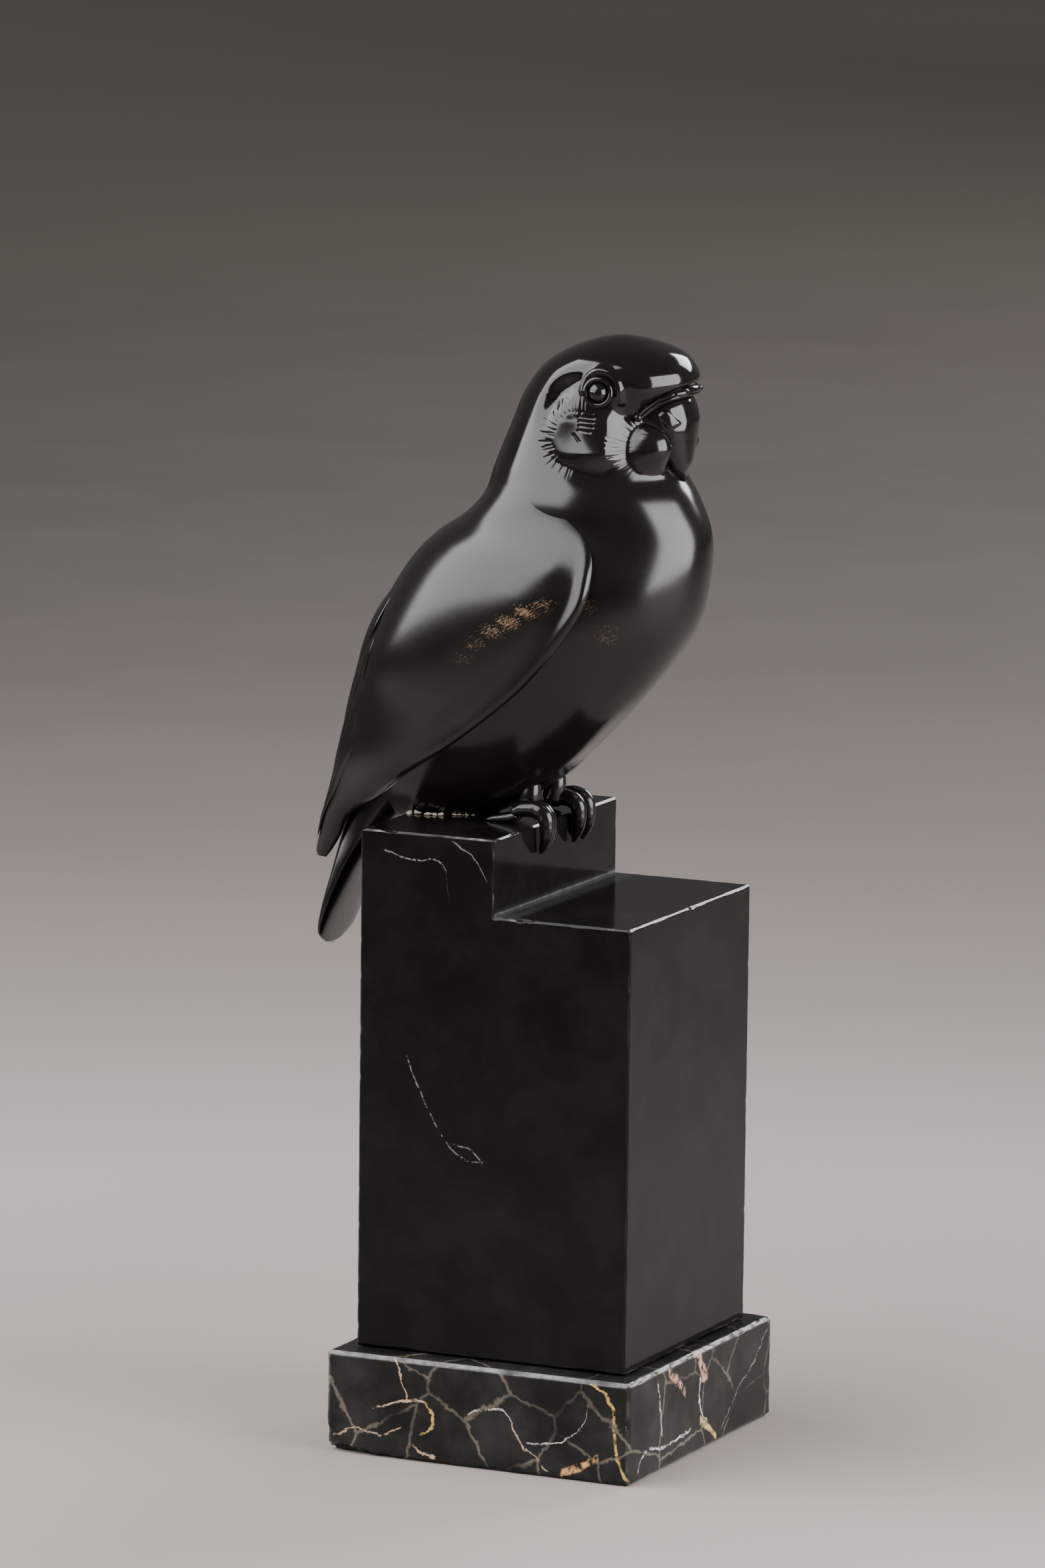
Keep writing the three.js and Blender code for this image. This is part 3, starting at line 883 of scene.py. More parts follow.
@dataclass(frozen=True)
class MiddleForm:
    """Form in the middle plane, such as the tail or the beak, drawn by its two edges."""

    root: Flat
    backs: tuple[Flat, ...]
    unders: tuple[Flat, ...]
    halves: tuple[float, ...]
    tip: Flat
    squareness: float = 1.0

    def grid(self, steps: int, around: int) -> Array:
        """Read its surface as rings.

        Args:
            steps: Rings along it.
            around: Points in each ring, from the back edge round.

        Returns:
            Points, rings by points.
        """
        share = np.linspace(0, 1, steps)
        place = share * (len(self.halves) - 1)
        back, under = smooth(self.backs, place), smooth(self.unders, place)
        depth, middle = (under - back) / 2, (under + back) / 2
        half = smooth(self.halves, place)
        turn = np.linspace(0, 2 * math.pi, around, endpoint=False)
        boxed_c = np.sign(np.cos(turn)) * np.abs(np.cos(turn)) ** self.squareness
        boxed_s = np.sign(np.sin(turn)) * np.abs(np.sin(turn)) ** self.squareness
        flat = middle[:, None] - depth[:, None] * boxed_c[None, :, None]
        y = half[:, None] * boxed_s[None, :]
        return np.stack([flat[..., 0], y, flat[..., 1]], -1)

    def ends(self) -> tuple[Array, Array]:
        """Give its two end points."""
        return np.array([self.root[0], 0, self.root[1]]), np.array([self.tip[0], 0, self.tip[1]])


@dataclass(frozen=True)
class Parrot:
    """The cast bird, drawn from the edge of its perch."""

    perch: Point
    body: BodyForm = BodyForm()
    face: HeadRelief = HeadRelief()
    fine_row: float = 0.27
    crown_row: float = 0.5
    coarse_row: float = 1.7
    around: int = 190
    tail: MiddleForm = MiddleForm(
        root=(-46.0, 26.0),
        backs=((-50, 30), (-61, 12), (-65.6, -6), (-68, -18), (-70.6, -30), (-72, -37.5), (-72.4, -41.5)),
        unders=((-38, 20), (-45, 3), (-54, -8), (-60.8, -18.5), (-66.6, -31), (-69.8, -38.5), (-71.2, -42)),
        halves=(9, 10, 11, 12.4, 13.2, 11.6, 5.5),
        tip=(-72.0, -43.0),
        squareness=0.7,
    )
    beak: MiddleForm = MiddleForm(
        root=(22.0, 121.0),
        backs=((30, 128.2), (39.2, 126.8), (42.3, 120.3), (42.0, 113.6), (41.2, 107.4)),
        unders=((24.7, 114), (29, 111.5), (31.6, 108), (34, 105.4), (35.6, 103)),
        halves=(12.6, 11.4, 9.2, 6.6, 4.0),
        tip=(39.0, 100.6),
    )
    cere: tuple[Point, ...] = (
        (30.4, 13.6, 120.8),
        (33.4, 12.6, 123.6),
        (36.7, 10.5, 126.2),
        (39.8, 7.0, 127.6),
        (41.8, 0.0, 128.1),
    )
    eye_radius: float = 2.95
    lid_radius: float = 3.75
    lid_thickness: float = 0.78
    leg_spread: float = 12.5
    leg_set_in: float = 0.7
    toe_spread: float = 3.1
    leg: tuple[Point, ...] = ((-4.0, 12, 2.6), (-4.4, 8, 3.2), (-5.2, 4, 3.2))
    toe: tuple[Point, ...] = (
        (-8, 2.8, 1.6),
        (-4.5, 4.4, 2.4),
        (-0.5, 4.6, 2.5),
        (2.4, 2.9, 2.4),
        (3.1, -0.8, 2.1),
        (2.8, -4, 1.7),
        (1.9, -6.6, 1.1),
        (1.2, -8.4, 0.5),
    )
    hind_toe: tuple[Point, ...] = (
        (-6, 2.4, 1.6),
        (-9, 1.6, 1.5),
        (-12, 1.1, 1.2),
        (-14.5, 0.7, 0.9),
        (-16, 0.4, 0.5),
    )
    gathered: float = 0.25
    toe_scales: float = 0.015
    thigh: tuple[Flat, ...] = ((19.0, 32.7), (8.0, 21.5), (0.3, 15.6), (-9.0, 8.4))
    thigh_reach: float = 7.5
    thigh_height: float = 1.5
    eye_sink: float = 1.75
    lid_sink: float = 1.0
    bill_plate: Flat = (38.0, 120.0)
    bill_plate_half: Flat = (1.5, 2.6)
    bill_plate_height: float = 0.45
    bill_plate_lean: Flat = (0.8, 0.6)
    bill_knob: Flat = (38.8, 113.9)
    bill_notch: tuple[Flat, ...] = ((35.6, 121.0), (37.0, 116.5), (38.6, 113.2))
    cere_radii: tuple[float, ...] = (0.5, 0.5, 0.65, 1.0, 1.2, 1.0, 0.65, 0.5, 0.5)
    cere_lower_radii: tuple[float, ...] = (0.4, 0.4, 0.45, 0.6, 0.65, 0.6, 0.45, 0.4, 0.4)
    mouth_knob: Point = (30.2, 13.4, 120.6)
    mouth_knob_radius: float = 1.3
    nostril: Point = (40.0, 6.2, 127.5)
    nostril_size: Point = (3.4, 1.7, 1.35)

    def rows(self) -> Array:
        """Place the rings of the body, close together on the head.

        Returns:
            Stations of the rings.
        """
        fine = np.linspace(0.03, self.body.end - 0.03, 4000)
        front = self.body.outline(fine / self.body.end / 2)
        back = self.body.outline(1 - fine / self.body.end / 2)
        step = sum(np.linalg.norm(np.diff(edge, axis=0), axis=1) for edge in (front, back))
        spacing = self.fine_row + (self.crown_row - self.fine_row) * (1 - ramp(1.8, 2.6, fine[1:]))
        spacing = spacing + (self.coarse_row - self.fine_row) * ramp(5.0, 6.0, fine[1:])
        count = np.concatenate([[0], np.cumsum(step / 2 / spacing)])
        return np.interp(np.linspace(0, count[-1], int(count[-1])), count, fine)

    def angles(self) -> Array:
        """Place the columns of the body, close together on its sides.

        Returns:
            Angles in degrees, from the front.
        """
        fine = np.linspace(0, 180, 2000)
        density = 1 + 1.5 * np.exp(-(((fine - 92) / 40) ** 2))
        count = np.concatenate([[0], np.cumsum((density[1:] + density[:-1]) / 2)])
        half = np.interp(np.linspace(0, count[-1], self.around), count, fine)
        return np.concatenate([half, 360 - half[-2:0:-1]])

    def torso(self, skin: Skin) -> None:
        """Add the head and body, with the carving of the face.

        Args:
            skin: Skin that takes them.
        """
        station, angle = np.meshgrid(self.rows(), self.angles(), indexing="ij")
        points = self.body.point(station, angle)
        normals = grid_normals(points, True)
        outward = ((points - points.mean(axis=1, keepdims=True)) * normals).sum()
        normals *= np.sign(outward)
        head = 1 - ramp(4.6, 5.2, station)
        heights = self.face.heights(points, normals) * head
        heights += self.face.swelling(points, normals) * head
        ridge = bell(path_distance(points[..., 0], points[..., 2], [self.thigh]), self.thigh_reach)
        heights += self.thigh_height * ridge * ramp(0.1, 0.5, np.abs(normals[..., 1])) * (1 - head)
        points = points + normals * heights[..., None]
        x, z = self.body.crown
        end_x, end_z = self.body.vent
        skin.rings(points, np.array([x, 0, z]), np.array([end_x, 0, end_z]))

    def eyes(self, skin: Skin, side: Side) -> None:
        """Add one eye: the ball and the ring of skin round it.

        Args:
            skin: Skin that takes it.
            side: Which eye.
        """
        axes = self.body.side_axes(*self.face.eye) * np.array([1, side.value, 1])
        place = self.body.side(*self.face.eye) * np.array([1, side.value, 1])
        sunk = place - axes[2] * self.eye_sink
        skin.ball(sunk, np.full(3, self.eye_radius), axes)
        skin.ring(place - axes[2] * self.lid_sink, self.lid_radius, self.lid_thickness, axes)

    def bill(self, skin: Skin) -> None:
        """Add the beak, with its side plates and the notch of its cutting edge.

        Args:
            skin: Skin that takes it.
        """
        grid = self.beak.grid(110, 144)
        facing = grid_normals(grid, True)
        facing *= np.sign(((grid - grid.mean(axis=1, keepdims=True)) * facing).sum())
        x, z = grid[..., 0], grid[..., 2]
        side = ramp(0.25, 0.6, np.abs(facing[..., 1]))
        across, up = x - self.bill_plate[0], z - self.bill_plate[1]
        c, s = self.bill_plate_lean
        wide, long = self.bill_plate_half
        plate = np.maximum(np.abs(across * c + up * s) / wide, np.abs(across * s - up * c) / long)
        height = side * self.bill_plate_height * (1 - ramp(0.75, 1.15, plate))
        height += side * 0.25 * bell(np.hypot(x - self.bill_knob[0], z - self.bill_knob[1]), 0.7)
        height -= side * 0.35 * bell(path_distance(x, z, [self.bill_notch]), 0.8)
        grid = grid + facing * height[..., None]
        skin.rings(grid, *self.beak.ends())

    def cere_band(self, skin: Skin) -> None:
        """Add the cere: two bands, the knobs at the mouth and the swellings at the nostrils.

        Args:
            skin: Skin that takes it.
        """
        half = [np.array(p) for p in self.cere]
        flip = np.array([1, -1, 1])
        arch = [*half, *[p * flip for p in reversed(half[:-1])]]
        skin.limb([tuple(p) for p in arch], self.cere_radii, 170, 24)
        lower = [p + np.array([0.3, 0.3 * np.sign(p[1]), -1.05]) for p in arch]
        skin.limb([tuple(p) for p in lower], self.cere_lower_radii, 170, 18)
        for side in Side:
            s = side.value
            across = np.array([1, s, 1])
            knob = np.full(3, self.mouth_knob_radius)
            skin.ball(np.array(self.mouth_knob) * across, knob, np.eye(3), 16)
            backward, outward = np.array([0.5, -0.86 * s, 0.1]), np.array([0.86, 0.5 * s, 0])
            axes = np.array([unit(backward), unit(outward), [0, 0, 1]])
            skin.ball(np.array(self.nostril) * across, np.array(self.nostril_size), axes, 20)

    def foot(self, skin: Skin, side: Side) -> None:
        """Add one foot: leg and four toes. The right foot's toes stand close together.

        Args:
            skin: Skin that takes it.
            side: Which foot.
        """
        s = side.value

        def placed(path: Sequence[Point], spread: float) -> list[Point]:
            """Set a path of the side view at its place across."""
            return [(x, s * spread, z) for x, z, _ in path]

        gathered = self.toe_spread if side is Side.LEFT else self.toe_spread * self.gathered
        for way in (-1, 1):
            spread = self.leg_spread + way * gathered
            radii = [r for *_, r in self.toe]
            skin.limb(placed(self.toe, spread), radii, 90, 28, scales=self.toe_scales)
            radii = [r for *_, r in self.hind_toe]
            skin.limb(placed(self.hind_toe, spread), radii, 50, 24, scales=self.toe_scales)
        radii = [r for *_, r in self.leg]
        skin.limb(placed(self.leg, self.leg_spread * self.leg_set_in), radii, 40, 32)

    def build(self, bronze: bpy.types.Material) -> list[bpy.types.Object]:
        """Make the pieces of the casting.

        Args:
            bronze: Its finish.

        Returns:
            The new objects.
        """
        torso, tail, wings, head, feet = Skin(), Skin(), Skin(), Skin(), Skin()
        self.torso(torso)
        tail.rings(self.tail.grid(110, 96), *self.tail.ends())
        wing = Wing(self.body)
        for side in Side:
            wing.shell(wings, side)
            wing.feathers(wings, side)
            self.eyes(head, side)
            self.foot(feet, side)
        self.bill(head)
        self.cere_band(head)
        pieces = []
        for name, skin in (
            ("parrot_body", torso),
            ("parrot_tail", tail),
            ("parrot_wings", wings),
            ("parrot_beak_and_eyes", head),
            ("parrot_feet", feet),
        ):
            piece = skin.make(name, Slot.BRONZE, bronze, self.perch)
            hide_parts("parrot")
            LOG.info("%s: %d points, %d faces", name, skin.count, len(skin.faces))
            pieces.append(piece)
        return pieces


@dataclass(frozen=True)
class Mastic:
    """Crumbs of old setting mastic where the belly rests on the stone."""

    height: float
    lines: tuple[tuple[Flat, ...], ...] = (
        ((-41.9, -13.5), (-40.6, -11.5), (-37.0, -13.4), (-30.0, -10.4), (-23.6, -6.0)),
        ((-30.5, 6.5), (-27.0, 14.0), (-25.0, 20.0), (-21.0, 24.0)),
        ((-41.9, 8.0), (-37.0, 13.0), (-31.0, 11.0)),
    )
    spacing: float = 0.22
    seed: int = 21
    clumps: float = 23.0
    sparse: float = -0.25
    scatter: float = 0.3
    crumb: Flat = (0.15, 0.5)
    stretch: Point = (1.6, 1.2, 0.9)
    pale: Colour = (0.46, 0.42, 0.32)
    dark: Colour = (0.24, 0.21, 0.15)

    def build(self) -> bpy.types.Object:
        """Make the crumbs.

        Returns:
            The new object.
        """
        rng = np.random.default_rng(self.seed)
        skin = Skin()
        for line in self.lines:
            length = sum(math.dist(a, b) for a, b in zip(line, line[1:]))
            for share in np.linspace(0, 1, int(length / self.spacing)):
                if math.sin(share * self.clumps) + rng.uniform(-0.9, 0.9) < self.sparse:
                    continue
                x, y = smooth(line, share * (len(line) - 1)) + rng.normal(0, self.scatter, 2)
                size = rng.uniform(*self.crumb, 3) * np.array(self.stretch)
                turn = rng.uniform(0, math.pi)
                c, s = math.cos(turn), math.sin(turn)
                axes = np.array([[c, s, 0], [-s, c, 0], [0, 0, 1]])
                skin.ball(np.array([x, y, self.height + rng.uniform(0.0, 0.5)]), size, axes, 8)
        paint = Paint("old mastic")
        place = paint.place()
        tone = paint.mix(paint.noise(place, 1.4, 3.0), self.dark, self.pale)
        bump = paint.noise(place, 0.3, 3.0)
        material = paint.finish(bump, 0.4, 0.0002, Base_Color=tone, Roughness=0.8)
        piece = skin.make("setting_mastic", Slot.BLACK_STONE, material, (0, 0, 0))
        LOG.info("%s: %d points, %d faces", piece.name, skin.count, len(skin.faces))
        return piece


# The stones


@dataclass(frozen=True)
class Chip:
    """Broken place in a stone: an ellipsoid that has gone."""

    place: Point
    size: Point


@dataclass(frozen=True)
class Plane:
    """Outer plane of a stone, and the stretch of it along x or z that bounds the stone."""

    normal: Point
    offset: float
    axis: int = 0
    low: float = -math.inf
    high: float = math.inf

    def bounds(self, points: Array) -> Array:
        """Tell which points it bounds."""
        return (points[:, self.axis] >= self.low - HAIR) & (points[:, self.axis] <= self.high + HAIR)

    def depth(self, points: Array) -> Array:
        """Measure how deep points lie under it."""
        return self.offset - points @ np.array(self.normal)


@dataclass(frozen=True)
class Stone:
    """Stone with flat faces, cut from steps along x, with worn and nicked arrises."""

    name: str
    node: str
    slot: Slot
    steps: tuple[tuple[float, float, float], ...]
    foot: float
    half_width: float
    arris: float
    wear: float
    spacing: float
    seed: int
    chips: tuple[Chip, ...] = ()
    # Grid lines this far from each edge, so that the worn edge has points to bend
    near: tuple[float, ...] = (0, 0.12, 0.25, 0.4, 0.6, 0.85, 1.2)
    nick_over: float = 0.72
    nick_depth: float = 5.0
    # Share of the depth of a chip that its points move along x, y and z
    push: Point = (0.55, 0.75, 0.8)
    crease: float = 24.0

    def ticks(self, stops: Sequence[float]) -> Array:
        """Place grid lines between stops, close together near each stop.

        Args:
            stops: Places where the form changes, in order.

        Returns:
            Places of the lines.
        """
        lines: list[float] = []
        near = np.array(self.near)
        edge = self.near[-1]
        for a, b in zip(stops, stops[1:]):
            count = max(2, int((b - a - 2 * edge) / self.spacing))
            middle = np.linspace(a + edge, b - edge, count + 1)
            lines += [*(a + near), *middle[1:-1], *(b - near[::-1])]
        return np.unique(np.round(np.array(lines), 4))

    def profile(self) -> list[tuple[Flat, Flat, Flat]]:
        """List the sides of the step profile.

        Returns:
            Start, end and outward normal of each side, as (x, z).
        """
        sides = []
        x_start = self.steps[0][0]
        height = self.foot
        x = x_start
        for start, end, top in self.steps:
            normal = (-1.0, 0.0) if top > height else (1.0, 0.0)
            sides.append(((x, height), (x, top), normal))
            sides.append(((start, top), (end, top), (0.0, 1.0)))
            x, height = end, top
        sides.append(((x, height), (x, self.foot), (1.0, 0.0)))
        sides.append(((x, self.foot), (x_start, self.foot), (0.0, -1.0)))
        return sides

    def blank(self) -> tuple[Array, list[list[int]]]:
        """Make the plain stone as a fine grid over all its faces.

        Returns:
            Points, and faces as corner numbers.
        """
        xs = self.ticks(sorted({v for s, e, _ in self.steps for v in (s, e)}))
        ys = self.ticks([-self.half_width, self.half_width])
        zs = self.ticks(sorted({self.foot, *[top for _, _, top in self.steps]}))
        points: list[Array] = []
        faces: list[list[int]] = []
        count = 0

        def sheet(grid: Array) -> None:
            """Add a grid of points.

            Args:
                grid: Points, rows by columns.
            """
            nonlocal count
            n, m = grid.shape[:2]
            i, k = np.meshgrid(np.arange(n - 1), np.arange(m - 1), indexing="ij")
            corner = (i * m + k + count).ravel()
            faces.extend(np.stack([corner, corner + m, corner + m + 1, corner + 1], 1).tolist())
            points.append(grid.reshape(-1, 3))
            count += n * m

        for (x0, z0), (x1, z1), normal in self.profile():
            if x0 == x1:
                line = zs[(zs >= min(z0, z1) - HAIR) & (zs <= max(z0, z1) + HAIR)]
                z, y = np.meshgrid(line, ys, indexing="ij")
                grid = np.stack([0 * z + x0, y, z], -1)
                flip = normal[0] > 0
            else:
                line = xs[(xs >= min(x0, x1) - HAIR) & (xs <= max(x0, x1) + HAIR)]
                x, y = np.meshgrid(line, ys, indexing="ij")
                grid = np.stack([x, y, 0 * x + z0], -1)
                flip = normal[1] < 0
            sheet(grid[:, ::-1] if flip else grid)
        for y in (-self.half_width, self.half_width):
            for start, end, top in self.steps:
                bands = [self.foot, *sorted({t for _, _, t in self.steps if t <= top})]
                for low, high in zip(bands, bands[1:]):
                    x, z = np.meshgrid(
                        xs[(xs >= start - HAIR) & (xs <= end + HAIR)],
                        zs[(zs >= low - HAIR) & (zs <= high + HAIR)],
                        indexing="ij",
                    )
                    grid = np.stack([x, 0 * x + y, z], -1)
                    sheet(grid[:, ::-1] if y > 0 else grid)
        return np.vstack(points), faces

    def planes(self) -> list[Plane]:
        """List the outer planes.

        Returns:
            The planes, with the stretch of each.
        """
        first, last = self.steps[0][0], self.steps[-1][1]
        found = [
            Plane((-1.0, 0, 0), -first),
            Plane((1.0, 0, 0), last),
            Plane((0, -1.0, 0), self.half_width),
            Plane((0, 1.0, 0), self.half_width),
            Plane((0, 0, -1.0), -self.foot),
        ]
        for start, end, top in self.steps:
            found.append(Plane((0, 0, 1.0), top, 0, start, end))
        for (_, end, _), (_, _, lower) in zip(self.steps, self.steps[1:]):
            found.append(Plane((1.0, 0, 0), end, 2, lower))
        return found

    def worn(self, points: Array) -> Array:
        """Take off the arrises unevenly, then the chips.

        Args:
            points: Points of the plain stone.

        Returns:
            The same points, moved in.
        """
        rough = Roughness(self.seed)
        width = self.arris + self.wear * (rough.field(points, 5.0) ** 2 + 0.5 * rough.field(points, 1.6))
        nick = np.maximum(rough.field(points + 40, 2.3) - self.nick_over, 0)
        width = width + nick * self.nick_depth * self.wear
        moved = points.copy()
        planes = self.planes()
        for i, one in enumerate(planes):
            for other in planes[i + 1 :]:
                n_a, n_b = np.array(one.normal), np.array(other.normal)
                if abs(float(n_a @ n_b)) > 0.5:
                    continue
                deep_a, deep_b = one.depth(moved), other.depth(moved)
                near = (deep_a + deep_b < width) & (deep_a > -HAIR) & (deep_b > -HAIR)
                near &= one.bounds(points) & other.bounds(points)
                short = np.where(near, (width - deep_a - deep_b) / 2, 0)[:, None]
                moved = moved - (n_a + n_b) * short
        return self.chipped(moved, rough)

    def chipped(self, points: Array, rough: "Roughness") -> Array:
        """Push points inside a chip back to its broken surface.

        Args:
            points: Points of the worn stone.
            rough: Field that makes the break uneven.

        Returns:
            The same points, moved in.
        """
        moved = points
        for chip in self.chips:
            local = (moved - np.array(chip.place)) / np.array(chip.size)
            reach = np.linalg.norm(local, axis=1)
            bumpy = 1 + 0.18 * (rough.field(moved, 1.8) - 0.5) + 0.1 * (rough.field(moved, 0.7) - 0.5)
            inside = reach < bumpy
            inward = np.array([-np.sign(chip.place[0]), -np.sign(chip.place[1]), 1.0])
            depth = np.where(inside, bumpy - reach, 0)[:, None] * np.array(chip.size)
            moved = moved + depth * inward * np.array(self.push)
        return moved

    def build(self, material: bpy.types.Material) -> bpy.types.Object:
        """Make the stone.

        Args:
            material: Its finish.

        Returns:
            The new object, which stands for the CAD node.
        """
        points, faces = self.blank()
        keys = np.round(points * 1000).astype(np.int64)
        _, index, inverse = np.unique(keys, axis=0, return_index=True, return_inverse=True)
        merged = points[index]
        inverse = inverse.reshape(-1)
        skin = Skin()
        skin.add(self.worn(merged), inverse[np.array(faces)].tolist())
        piece = skin.make(self.name, self.slot, material, (0, 0, 0))
        piece.data.set_sharp_from_angle(angle=math.radians(self.crease))
        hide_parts(self.node)
        LOG.info("%s: %d points, %d faces", self.name, skin.count, len(skin.faces))
        return piece


class Roughness:
    """Smooth random field in space, the same in each run."""

    cells: int = 32

    def __init__(self, seed: int) -> None:
        """Fill a lattice with random numbers from 0 to 1."""
        self.lattice = np.random.default_rng(seed).random((self.cells,) * 3)

    def field(self, points: Array, size: float) -> Array:
        """Read the field.

        Args:
            points: Points, one row each.
            size: Width of one blob.

        Returns:
            Numbers from 0 to 1.
        """
        place = points / size
        k = np.floor(place).astype(int)
        w = place - k
        w = w * w * (3 - 2 * w)
        total = np.zeros(len(points))
        for corner in range(8):
            offset = np.array([corner & 1, corner >> 1 & 1, corner >> 2 & 1])
            i, j, m = ((k + offset) % self.cells).T
            weight = np.prod(np.where(offset, w, 1 - w), axis=1)
            total += weight * self.lattice[i, j, m]
        return total


# Shaders

Value = Union["Sock", float, Sequence[float]]


class Sock:
    """Output of a node that takes part in Python arithmetic."""

    def __init__(self, paint: "Paint", socket: bpy.types.NodeSocket) -> None:
        """Wrap a socket."""
        self.paint = paint
        self.socket = socket

    def __add__(self, other: Value) -> "Sock":
        """Add."""
        return self.paint.maths("ADD", self, other)

    def __radd__(self, other: Value) -> "Sock":
        """Add, flipped."""
        return self.paint.maths("ADD", other, self)

    def __sub__(self, other: Value) -> "Sock":
        """Subtract."""
        return self.paint.maths("SUBTRACT", self, other)

    def __rsub__(self, other: Value) -> "Sock":
        """Subtract, flipped."""
        return self.paint.maths("SUBTRACT", other, self)

    def __mul__(self, other: Value) -> "Sock":
        """Multiply."""
        return self.paint.maths("MULTIPLY", self, other)

    def __rmul__(self, other: Value) -> "Sock":
        """Multiply, flipped."""
        return self.paint.maths("MULTIPLY", other, self)

    def __truediv__(self, other: Value) -> "Sock":
        """Divide."""
        return self.paint.maths("DIVIDE", self, other)

    def __rtruediv__(self, other: Value) -> "Sock":
        """Divide, flipped."""
        return self.paint.maths("DIVIDE", other, self)


class Paint:
    """One material while its nodes are made."""

    def __init__(self, name: str) -> None:
        """Start a material with one Principled shader.

        Args:
            name: Name of the material.
        """
        self.material = bpy.data.materials.new(name)
        self.material.use_nodes = True
        self.tree = self.material.node_tree
        self.tree.nodes.clear()
        self.shader = self.tree.nodes.new("ShaderNodeBsdfPrincipled")
        output = self.tree.nodes.new("ShaderNodeOutputMaterial")
        self.tree.links.new(self.shader.outputs["BSDF"], output.inputs["Surface"])

    def node(self, kind: str, settings: dict, sockets: dict, output: str | int = 0) -> Sock:
        """Add a node.

        Args:
            kind: Its type without the ShaderNode prefix.
            settings: Its settings; stops are a ramp's stops and points a curve's points.
            sockets: Values or links of its input sockets, by name or number.
            output: Which output to give.

        Returns:
            The output, ready for arithmetic.
        """
        made = self.tree.nodes.new("ShaderNode" + kind)
        for key, setting in settings.items():
            if key == "stops":
                elements = made.color_ramp.elements
                while len(elements) < len(setting):
                    elements.new(0.5)
                for element, (place, colour) in zip(elements, setting):
                    element.position = place
                    element.color = (*colour, 1)
            elif key == "points":
                curve = made.mapping.curves[0]
                while len(curve.points) < len(setting):
                    curve.points.new(0.5, 0.5)
                for point, place in zip(curve.points, setting):
                    point.location = place
                made.mapping.update()
            else:
                setattr(made, key, setting)
        for key, value in sockets.items():
            self.plug(made.inputs[key], value)
        return Sock(self, made.outputs[output])

    def plug(self, target: bpy.types.NodeSocket, value: Value) -> None:
        """Link a socket or set its value.

        Args:
            target: The socket.
            value: What it gets.
        """
        if isinstance(value, Sock):
            self.tree.links.new(value.socket, target)
        elif isinstance(value, (int, float)):
            target.default_value = value
        elif len(value) == 3 and target.type == "RGBA":
            target.default_value = (*value, 1)
        else:
            target.default_value = tuple(value)

    def maths(self, operation: str, *values: Value) -> Sock:
        """Add a Math node."""
        return self.node("Math", {"operation": operation}, dict(enumerate(values)))

    def place(self) -> Sock:
        """Give the place on the part in millimetres."""
        here = self.node("TexCoord", {}, {}, "Object")
        return self.node("VectorMath", {"operation": "SCALE"}, {0: here, "Scale": 1000.0})

    def parts(self, vector: Sock) -> tuple[Sock, Sock, Sock]:
        """Split a vector.

        Args:
            vector: The vector.

        Returns:
            Its three numbers.
        """
        split = self.node("SeparateXYZ", {}, {0: vector})
        outputs = split.socket.node.outputs
        return tuple(Sock(self, outputs[i]) for i in range(3))

    def noise(self, place: Sock, size: float, detail: float = 3.0, rough: float = 0.55) -> Sock:
        """Add a noise.

        Args:
            place: Where it is read, in millimetres.
            size: Width of its blobs, about, in millimetres.
            detail: How many finer layers it has.
            rough: How strong the finer layers are.

        Returns:
            Numbers round 0.5.
        """
        sockets = {"Vector": place, "Scale": 1 / size, "Detail": detail, "Roughness": rough}
        return self.node("TexNoise", {}, sockets, 0)

    def step(self, value: Value, low: float, high: float) -> Sock:
        """Ease from 0 to 1.

        Args:
            value: Number to ease.
            low: Where the result is 0.
            high: Where it is 1, over or under low.

        Returns:
            Numbers from 0 to 1.
        """
        settings = {"interpolation_type": "SMOOTHSTEP"}
        if low < high:
            return self.node("MapRange", settings, {0: value, 1: low, 2: high, 3: 0.0, 4: 1.0})
        return self.node("MapRange", settings, {0: value, 1: high, 2: low, 3: 1.0, 4: 0.0})

    def mix(self, share: Value, a: Value, b: Value) -> Sock:
        """Mix two colours."""
        return self.node("Mix", {"data_type": "RGBA"}, {0: share, 6: a, 7: b}, 2)

    def spot(self, place: Sock, middle: Point, size: Point) -> Sock:
        """Measure how far places lie from the middle of a soft spot.

        Args:
            place: The places.
            middle: Middle of the spot.
            size: Its half sizes.

        Returns:
            Distances counted in sizes: 1 at its edge.
        """
        away = self.node("VectorMath", {"operation": "SUBTRACT"}, {0: place, 1: middle})
        scaled = self.node("VectorMath", {"operation": "DIVIDE"}, {0: away, 1: size})
        return self.node("VectorMath", {"operation": "LENGTH"}, {0: scaled}, 1)

    def finish(
        self, bump: Sock | None, strength: float, distance: float, **sockets: Value
    ) -> bpy.types.Material:
        """Set the shader and give the material.

        Args:
            bump: Height field, or None for a smooth surface.
            strength: How much of the bump shows.
            distance: Height in metres that a field of 1 stands for.
            sockets: Values or links by socket name, with _ for a space.

        Returns:
            The material.
        """
        for key, value in sockets.items():
            self.plug(self.shader.inputs[key.replace("_", " ")], value)
        if bump is not None:
            normal = self.node("Bump", {}, {"Strength": strength, "Distance": distance, "Height": bump})
            self.plug(self.shader.inputs["Normal"], normal)
        return self.material


